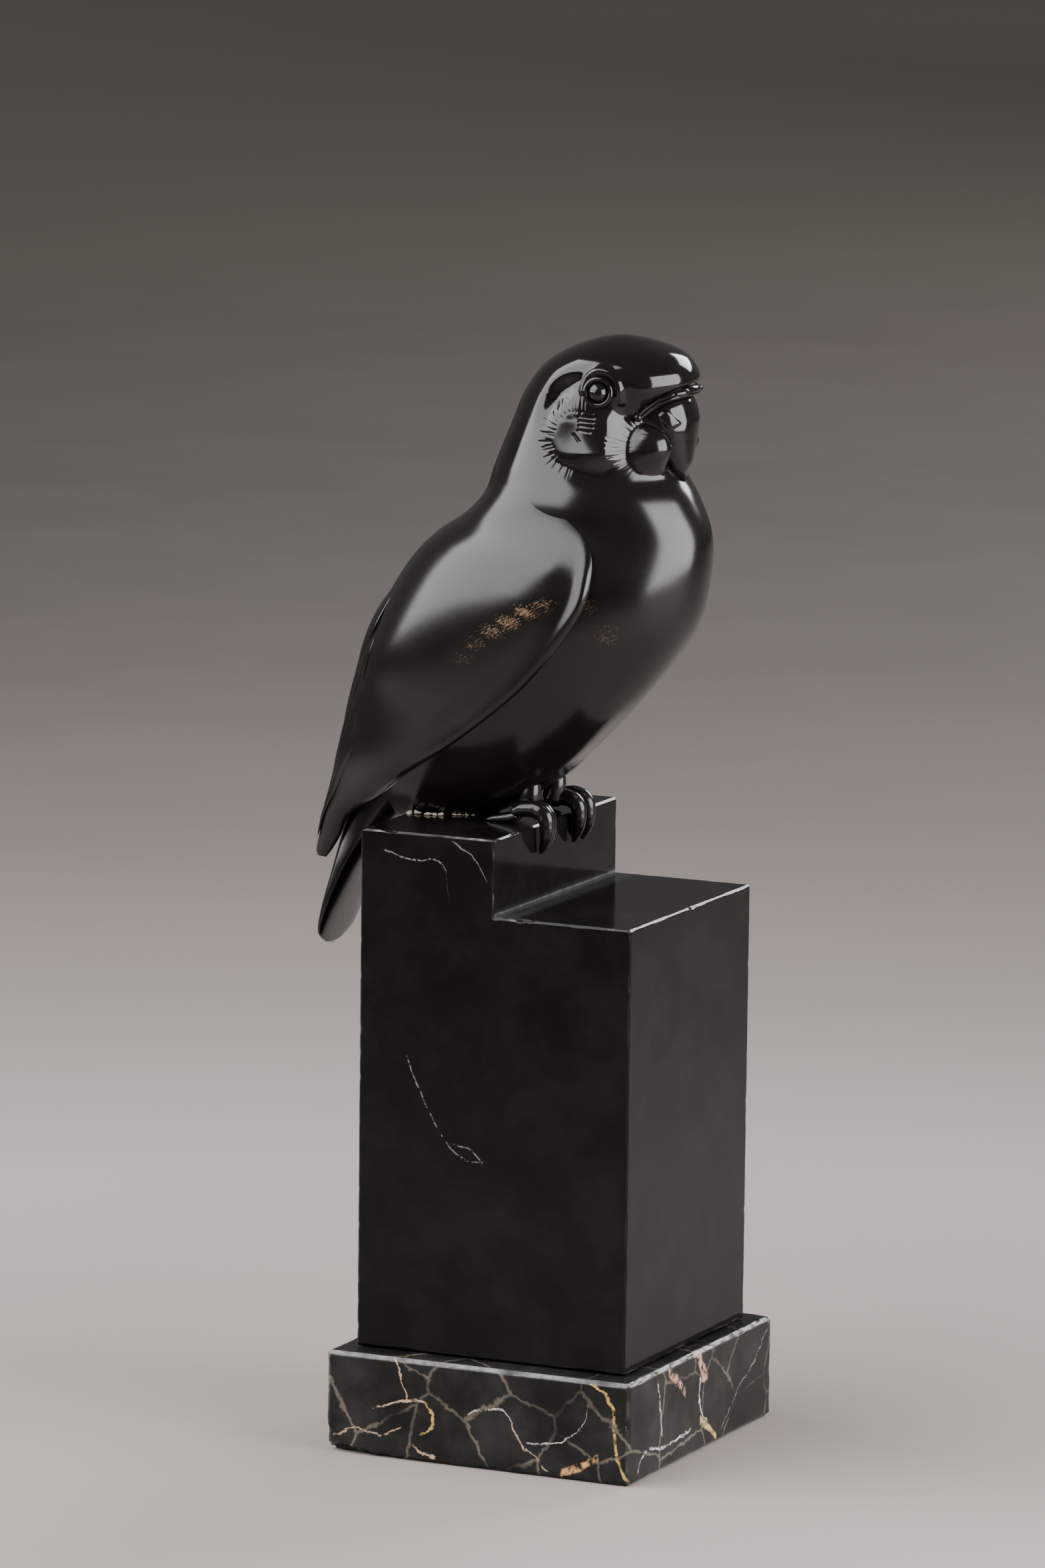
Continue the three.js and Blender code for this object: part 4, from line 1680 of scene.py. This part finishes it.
@dataclass(frozen=True)
class BronzeFinish:
    """Cast bronze under a black patina: glossy on the head, satin below, worn in specks."""

    perch: Point
    patina: Colour = (0.0032, 0.0030, 0.0027)
    worn: Colour = (0.24, 0.15, 0.085)
    brown: Colour = (0.0060, 0.0050, 0.0041)
    dusty: Colour = (0.05, 0.042, 0.034)
    head_gloss: float = 0.10
    body_gloss: float = 0.19
    satin_from: float = 108.0
    satin_to: float = 92.0
    cheek: Point = (31.5, 15.0, 110.5)
    cheek_size: Point = (9.0, 9.0, 10.0)
    scratch_turn: float = -38.0
    ior: float = 1.41
    # Worn places: middle from the perch edge, half sizes and strength
    wear_spots: tuple[tuple[Point, Point, float], ...] = (
        ((-5, -35, 59), (9, 9, 4.5), 0.9),
        ((0, -35, 62), (8, 9, 4.5), 1.0),
        ((5, -34, 65), (8, 9, 4.5), 0.95),
        ((10, -33, 67.5), (8, 9, 4.5), 0.9),
        ((-10, -35, 55), (9, 9, 5), 0.75),
        ((-15, -34, 50), (9, 9, 5), 0.7),
        ((21, -28, 67), (7, 8, 5), 0.85),
        ((27, -25, 58), (9, 9, 9), 0.75),
        ((-30, -18, 82), (9, 9, 5), 0.5),
        ((-45, -10, 70), (9, 9, 8), 0.4),
        ((5, -3, 141), (9, 9, 5), 0.6),
        ((1, 34, 60), (11, 8, 5), 0.5),
    )

    def build(self) -> bpy.types.Material:
        """Make the material.

        Returns:
            The material.
        """
        paint = Paint("black patinated bronze")
        place = paint.place()
        _, _, z = paint.parts(place)
        rise = z - self.perch[2]
        blotch = paint.noise(place, 14.0, 4.0)
        grain = paint.noise(place, 0.55, 4.0, 0.7)
        turn = (0, math.radians(self.scratch_turn), 0)
        stretched = {"Vector": place, "Rotation": turn, "Scale": (1.9, 1.0, 0.6)}
        scratch = paint.node("Mapping", {"vector_type": "TEXTURE"}, stretched)
        speckle = paint.noise(scratch, 0.7, 9.0, 0.88)
        near: Sock | None = None
        for (x, y, h), size, amount in self.wear_spots:
            middle = (x + self.perch[0], y, h + self.perch[2])
            spot = paint.step(paint.spot(place, middle, size), 1.3, 0.0) * amount
            near = spot if near is None else paint.maths("MAXIMUM", near, spot)
        worn = paint.step(speckle + 0.22 * near, 0.7, 0.76) * paint.step(near, 0.02, 0.1)
        dust = paint.step(paint.noise(place, 0.5, 3.0, 0.8), 0.74, 0.8) * 0.35
        satin = paint.step(rise + (blotch - 0.5) * 8, self.satin_from, self.satin_to)
        x, y, h = self.cheek
        for side in Side:
            middle = (self.perch[0] + x, side.value * y, self.perch[2] + h)
            cheek = paint.step(paint.spot(place, middle, self.cheek_size), 1.2, 0.5) * 0.85
            satin = paint.maths("MAXIMUM", satin, cheek)
        rough = self.head_gloss + satin * (self.body_gloss - self.head_gloss) + (blotch - 0.5) * 0.08
        rough = rough + (grain - 0.5) * 0.1 * satin + worn * 0.25
        base = paint.mix(blotch, self.patina, self.brown)
        colour = paint.mix(dust * satin, base, self.dusty)
        colour = paint.mix(worn, colour, self.worn)
        bump = (grain - 0.5) * satin * 0.5 + (blotch - 0.5) * 0.6 - worn * 0.5
        return paint.finish(
            bump, 0.25, 0.00012, Base_Color=colour, Roughness=rough, Metallic=worn * 0.9, IOR=self.ior
        )


@dataclass(frozen=True)
class Vein:
    """One vein on a face: points (u, v), read along u or along v."""

    points: tuple[Flat, ...]
    along_u: bool
    width: float
    colour: Colour
    strength: float = 1.0

    def mask(self, paint: Paint, u: Sock, v: Sock, size: float, centre: Flat) -> Sock:
        """Show where the vein runs.

        Args:
            paint: Material being made.
            u: First coordinate on the face.
            v: Second coordinate on the face.
            size: Half the span that the curve covers.
            centre: Middle of that span.

        Returns:
            1 on the vein and 0 away from it.
        """
        run, cross = (u, v) if self.along_u else (v, u)
        ordered = sorted((p if self.along_u else (p[1], p[0])) for p in self.points)
        cu, cv = centre if self.along_u else (centre[1], centre[0])
        points = [((a - cu) / size / 2 + 0.5, (b - cv) / size / 2 + 0.5) for a, b in ordered]
        share = (run - cu) / (2 * size) + 0.5
        path = paint.node("FloatCurve", {"points": points}, {"Value": share})
        away = paint.maths("ABSOLUTE", cross - ((path - 0.5) * (2 * size) + cv))
        low, high = ordered[0][0], ordered[-1][0]
        within = paint.step(run, low - 0.4, low + 0.4) * paint.step(run, high + 0.4, high - 0.4)
        return paint.step(away, self.width, self.width * 0.35) * within * self.strength


@dataclass(frozen=True)
class Face:
    """One face of a stone with its drawn veins."""

    axis: int
    place: float
    veins: tuple[Vein, ...]


@dataclass(frozen=True)
class Arris:
    """Edge where two faces meet, painted pale along a stretch: partly wear, partly a painted highlight on
    the arris.
    """

    axes: tuple[int, int, int]
    at: Flat
    reach: Flat
    colour: Colour
    width: float = 0.8
    strength: float = 1.0

    def mask(self, paint: Paint, at: tuple[Sock, Sock, Sock], patchy: Sock) -> Sock:
        """Show where the arris is painted pale, as wear and as painted highlight.

        Args:
            paint: Material being made.
            at: The three coordinates.
            patchy: Noise that breaks up the pale line.

        Returns:
            1 on the pale line and 0 away from it.
        """
        a, b, c = self.axes
        gap = paint.maths("ABSOLUTE", at[a] - self.at[0]) + paint.maths("ABSOLUTE", at[b] - self.at[1])
        line = paint.step(gap, self.width, self.width * 0.45)
        low, high = self.reach
        line = line * paint.step(at[c], low - 0.3, low + 0.3) * paint.step(at[c], high + 0.3, high - 0.3)
        return line * (0.5 + 0.5 * paint.step(patchy, 0.35, 0.6)) * self.strength


@dataclass(frozen=True)
class StoneFinish:
    """Polished black stone with drawn veins, a faint net of others, and arrises painted pale, partly as
    wear and partly as painted highlight.
    """

    name: str
    base: Colour
    cloud: Colour
    gloss: float
    faces: tuple[Face, ...]
    lines: tuple[Arris, ...]
    net: Colour = (0.30, 0.25, 0.19)
    net_amount: float = 0.0
    net_size: float = 26.0
    ragged: float = 1.2
    broken: float = 0.25
    ior: float = 1.22
    span: float = 110.0
    span_middle: Flat = (0.0, 90.0)

    def build(self) -> bpy.types.Material:
        """Make the material.

        Returns:
            The material.
        """
        paint = Paint(self.name)
        place = paint.place()
        wander = {"Vector": place, "Scale": 0.22, "Detail": 4.0, "Roughness": 0.65}
        drift = paint.node("TexNoise", {}, wander, 1)
        drift = paint.node("VectorMath", {"operation": "SUBTRACT"}, {0: drift, 1: (0.5, 0.5, 0.5)})
        drift = paint.node("VectorMath", {"operation": "SCALE"}, {0: drift, "Scale": self.ragged * 2.2})
        bent = paint.node("VectorMath", {"operation": "ADD"}, {0: place, 1: drift})
        coordinates = paint.parts(place)
        bent_parts = paint.parts(bent)
        cloud = paint.noise(place, 17.0, 5.0, 0.6)
        fine = paint.noise(place, 0.8, 3.0, 0.7)
        patchy = paint.noise(place, 3.2, 3.0, 0.6)
        colour = paint.mix(paint.step(cloud, 0.35, 0.75), self.base, self.cloud)
        if self.net_amount > 0:
            net = self.network(paint, bent) * paint.step(cloud, 0.3, 0.62) * self.net_amount
            colour = paint.mix(net, colour, self.net)
        start = 0.36 + 0.5 * self.broken
        rough = self.gloss + (cloud - 0.5) * 0.1 + (fine - 0.5) * 0.04
        for face in self.faces:
            here = paint.step(paint.maths("ABSOLUTE", coordinates[face.axis] - face.place), 1.6, 1.0)
            others = [bent_parts[i] for i in range(3) if i != face.axis]
            for vein in face.veins:
                mask = vein.mask(paint, others[0], others[1], self.span, self.span_middle) * here
                mask = mask * paint.step(patchy + self.broken * fine, start, start + 0.2)
                colour = paint.mix(mask, colour, vein.colour)
                rough = rough + mask * 0.12
        colour = self.edges(paint, coordinates, patchy, colour)
        bump = (fine - 0.5) * 0.25 + (cloud - 0.5) * 0.5
        return paint.finish(bump, 0.12, 0.0001, Base_Color=colour, Roughness=rough, IOR=self.ior)

    def network(self, paint: Paint, bent: Sock) -> Sock:
        """Draw a faint net of hair veins all through the stone.

        Args:
            paint: Material being made.
            bent: Place on the part, bent a little.

        Returns:
            1 on a hair vein and 0 away from it.
        """
        scale = 1 / self.net_size
        cells = paint.node(
            "TexVoronoi",
            {"feature": "DISTANCE_TO_EDGE"},
            {"Vector": bent, "Scale": scale, "Randomness": 1.0},
            0,
        )
        return paint.step(cells, 0.022, 0.004)

    def edges(self, paint: Paint, at: tuple[Sock, Sock, Sock], patchy: Sock, colour: Sock) -> Sock:
        """Pale the arrises, partly as wear and partly as painted highlight.

        Args:
            paint: Material being made.
            at: The three coordinates.
            patchy: Noise that breaks up the pale lines.
            colour: Colour so far.

        Returns:
            The colour with the pale lines on it.
        """
        for arris in self.lines:
            colour = paint.mix(arris.mask(paint, at, patchy), colour, arris.colour)
        return colour


# The studio


@dataclass(frozen=True)
class SoftLight:
    """Soft studio light: direction from the object, distance, size and power."""

    name: str
    azimuth: float
    elevation: float
    distance: float
    width: float
    height: float
    watts: float

    def build(self, target: Vector) -> bpy.types.Object:
        """Hang the light, out of the camera's sight.

        Args:
            target: What it points at.

        Returns:
            The new light.
        """
        data = bpy.data.lights.new(self.name, "AREA")
        data.shape, data.size, data.size_y = "RECTANGLE", self.width, self.height
        data.energy = self.watts
        lamp = bpy.data.objects.new(self.name, data)
        a, e = math.radians(self.azimuth), math.radians(self.elevation)
        way = Vector((math.sin(a) * math.cos(e), -math.cos(a) * math.cos(e), math.sin(e)))
        lamp.location = target + way * self.distance
        lamp.rotation_mode = "QUATERNION"
        lamp.rotation_quaternion = (-way).to_track_quat("-Z", "Y")
        lamp.visible_camera = False
        bpy.context.scene.collection.objects.link(lamp)
        return lamp


@dataclass(frozen=True)
class Studio:
    """Pale floor, soft lights and the camera at the photograph's angle."""

    # Camera, in degrees and millimetres
    azimuth: float = 24.8197
    elevation: float = 9.4641
    roll: float = 0.67363
    distance: float = 2692.254
    right: float = -8.1464
    up: float = 190.38
    lens: float = 210.412
    sensor: float = 36.0
    # Floor and lights, in metres
    floor_radius: float = 60.0
    floor_gap: float = 0.0001
    aim: float = 0.25
    lights: tuple[SoftLight, ...] = (
        SoftLight("left softbox", -50.0, 36.0, 1.25, 1.85, 1.55, 73.0),
        SoftLight("right softbox", 86.0, 10.0, 0.85, 0.8, 0.7, 23.0),
        SoftLight("back softbox", 165.0, 28.0, 3.2, 1.6, 1.1, 80.0),
    )
    floor_reach: float = 6.0
    # Share of that reach, and the tone there: painted light, the brightness of the lit floor at each
    # distance
    painted_floor_light: tuple[tuple[float, Colour], ...] = (
        (0.000, (0.235, 0.197, 0.178)),
        (0.037, (0.255, 0.216, 0.199)),
        (0.067, (0.280, 0.243, 0.230)),
        (0.108, (0.216, 0.181, 0.169)),
        (0.167, (0.156, 0.129, 0.118)),
        (0.250, (0.115, 0.097, 0.088)),
        (0.350, (0.108, 0.093, 0.084)),
        (0.467, (0.135, 0.115, 0.103)),
        (0.600, (0.213, 0.189, 0.163)),
        (0.850, (0.411, 0.377, 0.340)),
    )
    room_tint: Colour = (1.0, 0.95, 0.92)
    room_strength: float = 0.14

    def camera(self) -> bpy.types.Object:
        """Set up the camera.

        Returns:
            The camera.
        """
        a, e, r = (math.radians(v) for v in (self.azimuth, self.elevation, self.roll))
        back = Vector((math.sin(a) * math.cos(e), -math.cos(a) * math.cos(e), math.sin(e)))
        level = (-back).cross(Vector((0, 0, 1))).normalized()
        upright = level.cross(-back)
        right = level * math.cos(r) + upright * math.sin(r)
        up = upright * math.cos(r) - level * math.sin(r)
        data = bpy.data.cameras.new("camera")
        data.lens, data.sensor_width = self.lens, self.sensor
        data.clip_start, data.clip_end = 0.05, 200.0
        camera = bpy.data.objects.new("camera", data)
        place = back * self.distance + right * self.right + up * self.up
        turn = Matrix((right, up, back)).transposed().to_4x4()
        camera.matrix_world = Matrix.Translation(place * MM) @ turn
        bpy.context.scene.collection.objects.link(camera)
        bpy.context.scene.camera = camera
        return camera

    def floor_finish(self) -> bpy.types.Material:
        """Make the paper of the floor, its tone set by the distance from the part: painted light and shade,
        the brightness of the lit floor at each distance painted into its tone, and painted shade in front
        of the part.

        Returns:
            The material.
        """
        paint = Paint("pale paper")
        place = paint.node("TexCoord", {}, {}, "Object")
        away = paint.node("VectorMath", {"operation": "LENGTH"}, {0: place}, 1)
        tone = paint.node(
            "ValToRGB",
            {"stops": self.painted_floor_light},
            {0: away / self.floor_reach},
        )
        mottle = paint.node("TexNoise", {}, {"Vector": place, "Scale": 9.0, "Detail": 4.0}, 0)
        _, depth, _ = paint.parts(place)
        # Painted shade: the floor in front of the part, on the camera's side, darkens to near black so that
        # the stone and bronze reflect shade there
        tone = paint.mix(paint.step(depth, -0.32, -0.75) * 0.8, tone, (0.03, 0.027, 0.025))
        tone = paint.mix(paint.step(mottle, 0.3, 0.7) * 0.04, tone, (0.30, 0.26, 0.24))
        return paint.finish(None, 0, 0, Base_Color=tone, Roughness=0.75)

    def floor(self) -> bpy.types.Object:
        """Lay the floor.

        Returns:
            The floor.
        """
        mesh = bpy.data.meshes.new("floor")
        r = self.floor_radius
        mesh.from_pydata([(-r, -r, 0), (r, -r, 0), (r, r, 0), (-r, r, 0)], [], [(0, 1, 2, 3)])
        mesh.materials.append(self.floor_finish())
        floor = bpy.data.objects.new("floor", mesh)
        floor.location.z = -self.floor_gap
        bpy.context.scene.collection.objects.link(floor)
        return floor

    def world(self) -> None:
        """Give the room its dim even light."""
        world = bpy.data.worlds.new("room")
        world.use_nodes = True
        background = world.node_tree.nodes["Background"]
        background.inputs["Color"].default_value = (*self.room_tint, 1)
        background.inputs["Strength"].default_value = self.room_strength
        bpy.context.scene.world = world

    def build(self) -> None:
        """Set up the camera, the floor and the lights."""
        target = Vector((0, 0, self.aim))
        self.camera()
        self.floor()
        self.world()
        for light in self.lights:
            light.build(target)


# Colours, veins and pale edges of the stones, the edges partly wear and partly painted highlight

GOLD = (0.46, 0.29, 0.09)
TAN = (0.42, 0.29, 0.19)
PINK = (0.42, 0.24, 0.18)
WHITE = (0.50, 0.48, 0.45)
GREY = (0.13, 0.125, 0.115)

MARBLE_FACES = (
    Face(
        1,
        -SLAB_HALF_Y,
        (
            Vein(((35.7, 28.8), (38.5, 27.8), (41.4, 26.1)), True, 0.55, GOLD),
            Vein(((41.0, 26.5), (42.9, 21.8), (43.7, 14.6), (44.6, 7.5), (47.6, 1.7)), False, 0.6, GOLD),
            Vein(((27.0, 1.4), (30.8, 3.5), (35.0, 5.4), (38.7, 7.6)), True, 1.6, (0.5, 0.27, 0.12)),
            Vein(((-33.6, 14.3), (-26.7, 16.6), (-22.5, 17.7), (-16.5, 17.6)), True, 0.5, TAN),
            Vein(((-16.5, 17.6), (-14.5, 14.4), (-14.7, 10.9), (-17.4, 8.2)), False, 0.6, GOLD),
            Vein(((-20.4, 4.7), (-15.9, 2.2), (-13.3, 1.7)), True, 0.6, TAN),
            Vein(((-26.6, 29.5), (-24.2, 23.6), (-22.0, 17.8)), False, 0.35, TAN),
            Vein(((-2.6, 15.8), (2.0, 17.6), (7.1, 18.2), (11.2, 15.5)), True, 0.4, WHITE, 0.8),
            Vein(((11.2, 15.5), (13.8, 9.5), (19.2, 5.0), (22.6, 1.6)), False, 0.4, TAN),
            Vein(
                ((16.2, 9.2), (22.0, 9.6), (26.9, 11.0), (32.7, 16.1), (34.8, 20.9)),
                True,
                0.35,
                WHITE,
                0.7,
            ),
            Vein(((-46.0, 5.0), (-38.0, 8.0), (-31.0, 7.0), (-24.0, 10.0)), True, 0.35, TAN, 0.7),
        ),
    ),
    Face(
        0,
        SLAB_HALF_X,
        (
            Vein(((-3.1, 30.7), (-0.5, 26.0), (2.0, 22.3), (2.2, 20.0)), False, 2.6, PINK),
            Vein(((-24.0, 28.1), (-17.5, 24.0), (-11.3, 19.5)), True, 2.0, PINK, 0.9),
            Vein(((-0.4, 21.8), (-1.1, 13.6), (4.4, 7.9)), False, 0.5, WHITE),
            Vein(((-0.9, 9.4), (5.0, 5.8), (11.4, 1.8)), True, 1.5, (0.5, 0.36, 0.16)),
            Vein(((-45.1, 1.1), (-42.1, 6.7), (-24.2, 6.6), (-7.6, 7.6)), True, 0.55, WHITE, 0.8),
            Vein(((-31.5, 27.5), (-27.6, 10.1)), False, 0.4, WHITE, 0.8),
            Vein(((15.0, 3.0), (26.0, 12.0), (40.0, 20.0), (48.0, 27.0)), True, 0.35, GREY),
        ),
    ),
)
CREAM = (0.40, 0.36, 0.31)
DULL = (0.12, 0.095, 0.08)
PALE = (0.20, 0.20, 0.20)
BLOCK_EDGES = (
    Arris((2, 1, 0), (PERCH_TOP, -BLOCK_HALF), (-BLOCK_HALF, RISER_X), CREAM, 0.6),
    Arris((0, 1, 2), (RISER_X, -BLOCK_HALF), (TREAD_TOP, PERCH_TOP), CREAM, 0.5, 0.9),
    Arris((2, 1, 0), (TREAD_TOP, -BLOCK_HALF), (RISER_X, BLOCK_HALF), CREAM, 0.6),
    Arris((2, 0, 1), (TREAD_TOP, BLOCK_HALF), (-BLOCK_HALF, BLOCK_HALF), DULL, 0.6),
    Arris((2, 0, 1), (PERCH_TOP, RISER_X), (-BLOCK_HALF, BLOCK_HALF), DULL, 0.5, 0.5),
    Arris((0, 1, 2), (BLOCK_HALF, -BLOCK_HALF), (128.0, TREAD_TOP), (0.26, 0.20, 0.16), 0.5),
    Arris((0, 1, 2), (BLOCK_HALF, -BLOCK_HALF), (31.0, 128.0), (0.07, 0.065, 0.06), 0.5, 0.7),
    Arris((0, 1, 2), (-BLOCK_HALF, -BLOCK_HALF), (31.0, PERCH_TOP), DULL, 0.45, 0.6),
    Arris((2, 0, 1), (PERCH_TOP, -BLOCK_HALF), (-BLOCK_HALF, BLOCK_HALF), CREAM, 0.5, 0.6),
    Arris((0, 1, 2), (BLOCK_HALF, BLOCK_HALF), (31.0, TREAD_TOP), DULL, 0.45, 0.7),
    Arris((2, 1, 0), (PERCH_TOP, BLOCK_HALF), (-BLOCK_HALF, RISER_X), CREAM, 0.5, 0.7),
    Arris((2, 1, 0), (TREAD_TOP, BLOCK_HALF), (RISER_X, BLOCK_HALF), CREAM, 0.5, 0.7),
    # Painted highlight: a pale line along the inner corner where the riser meets the tread
    Arris((0, 2, 1), (RISER_X, TREAD_TOP), (-42.1, BLOCK_HALF), (0.13, 0.13, 0.135), 1.1, 0.5),
    # Painted glow: a wide faint pale band on the tread in front of the riser
    Arris((0, 2, 1), (2.5, 159.4), (-42.1, BLOCK_HALF), (0.05, 0.05, 0.053), 6.5, 0.6),
)
SLAB_EDGES = (
    Arris((2, 1, 0), (SLAB_TOP, -SLAB_HALF_Y), (-SLAB_HALF_X, SLAB_HALF_X), PALE, 1.5),
    Arris((2, 0, 1), (SLAB_TOP, SLAB_HALF_X), (-51.1, 51.1), PALE, 1.4),
    Arris((0, 1, 2), (SLAB_HALF_X, -SLAB_HALF_Y), (0.0, SLAB_TOP), (0.10, 0.10, 0.095), 1.3, 0.8),
    Arris((2, 0, 1), (SLAB_TOP, -SLAB_HALF_X), (-51.1, 51.1), PALE, 1.3, 0.8),
    Arris((2, 1, 0), (SLAB_TOP, SLAB_HALF_Y), (-SLAB_HALF_X, SLAB_HALF_X), PALE, 1.3, 0.8),
)
BLOCK_FACES = (
    Face(
        1,
        -BLOCK_HALF,
        (
            Vein(
                ((-27.3, 117.3), (-24.2, 109.7), (-20.8, 103.0), (-17.1, 96.7), (-14.5, 93.0)),
                False,
                0.3,
                GREY,
            ),
            Vein(((-14.5, 93.0), (-10.5, 92.4), (-7.0, 91.8), (-2.5, 87.5)), True, 0.3, GREY),
            Vein(((-14.5, 93.0), (-10.2, 89.5), (-2.5, 88.5)), True, 0.35, GREY),
            Vein(((-35.0, 177.2), (-26.0, 175.0), (-17.5, 175.2), (-14.7, 167.6)), True, 0.3, GREY),
            Vein(((-13.6, 181.3), (-6.5, 176.7), (-2.7, 170.8)), True, 0.3, GREY),
        ),
    ),
)


def main() -> None:
    """Build the plinth, the bird and the studio, and report each piece."""
    logging.basicConfig(level=logging.INFO, format="%(name)s: %(message)s")
    Studio().build()
    bronze = BronzeFinish(PERCH).build()
    black = StoneFinish(
        name="polished black stone",
        base=(0.0030, 0.0028, 0.0025),
        cloud=(0.0065, 0.0060, 0.0054),
        gloss=0.12,
        faces=BLOCK_FACES,
        lines=BLOCK_EDGES,
        ragged=0.8,
        broken=1.6,
    ).build()
    marble = StoneFinish(
        name="veined black marble",
        base=(0.0070, 0.0068, 0.0064),
        cloud=(0.022, 0.0215, 0.021),
        gloss=0.2,
        faces=MARBLE_FACES,
        net_amount=0.3,
        lines=SLAB_EDGES,
        ragged=1.6,
    ).build()
    Stone(
        name="stepped_black_block",
        node="stepped_block",
        slot=Slot.BLACK_STONE,
        steps=((-BLOCK_HALF, RISER_X, PERCH_TOP), (RISER_X, BLOCK_HALF, TREAD_TOP)),
        foot=BLOCK_FOOT,
        half_width=BLOCK_HALF,
        arris=0.4,
        wear=0.35,
        spacing=1.5,
        seed=3,
    ).build(black)
    Stone(
        name="veined_marble_slab",
        node="base_slab",
        slot=Slot.MARBLE,
        steps=((-SLAB_HALF_X, SLAB_HALF_X, SLAB_TOP),),
        foot=0.0,
        half_width=SLAB_HALF_Y,
        arris=0.8,
        wear=0.5,
        spacing=1.1,
        seed=5,
        chips=(
            Chip((-46.0, -51.5, -0.6), (9.0, 4.2, 3.6)),
            Chip((-38.0, -51.5, -0.8), (7.0, 3.4, 2.6)),
            Chip((-30.0, -51.4, -0.8), (5.0, 2.6, 2.0)),
            Chip((-48.8, -51.6, 4.0), (2.2, 2.2, 6.0)),
        ),
    ).build(marble)
    Parrot(PERCH).build(bronze)
    Mastic(PERCH_TOP).build()


if __name__ == "__main__":
    main()
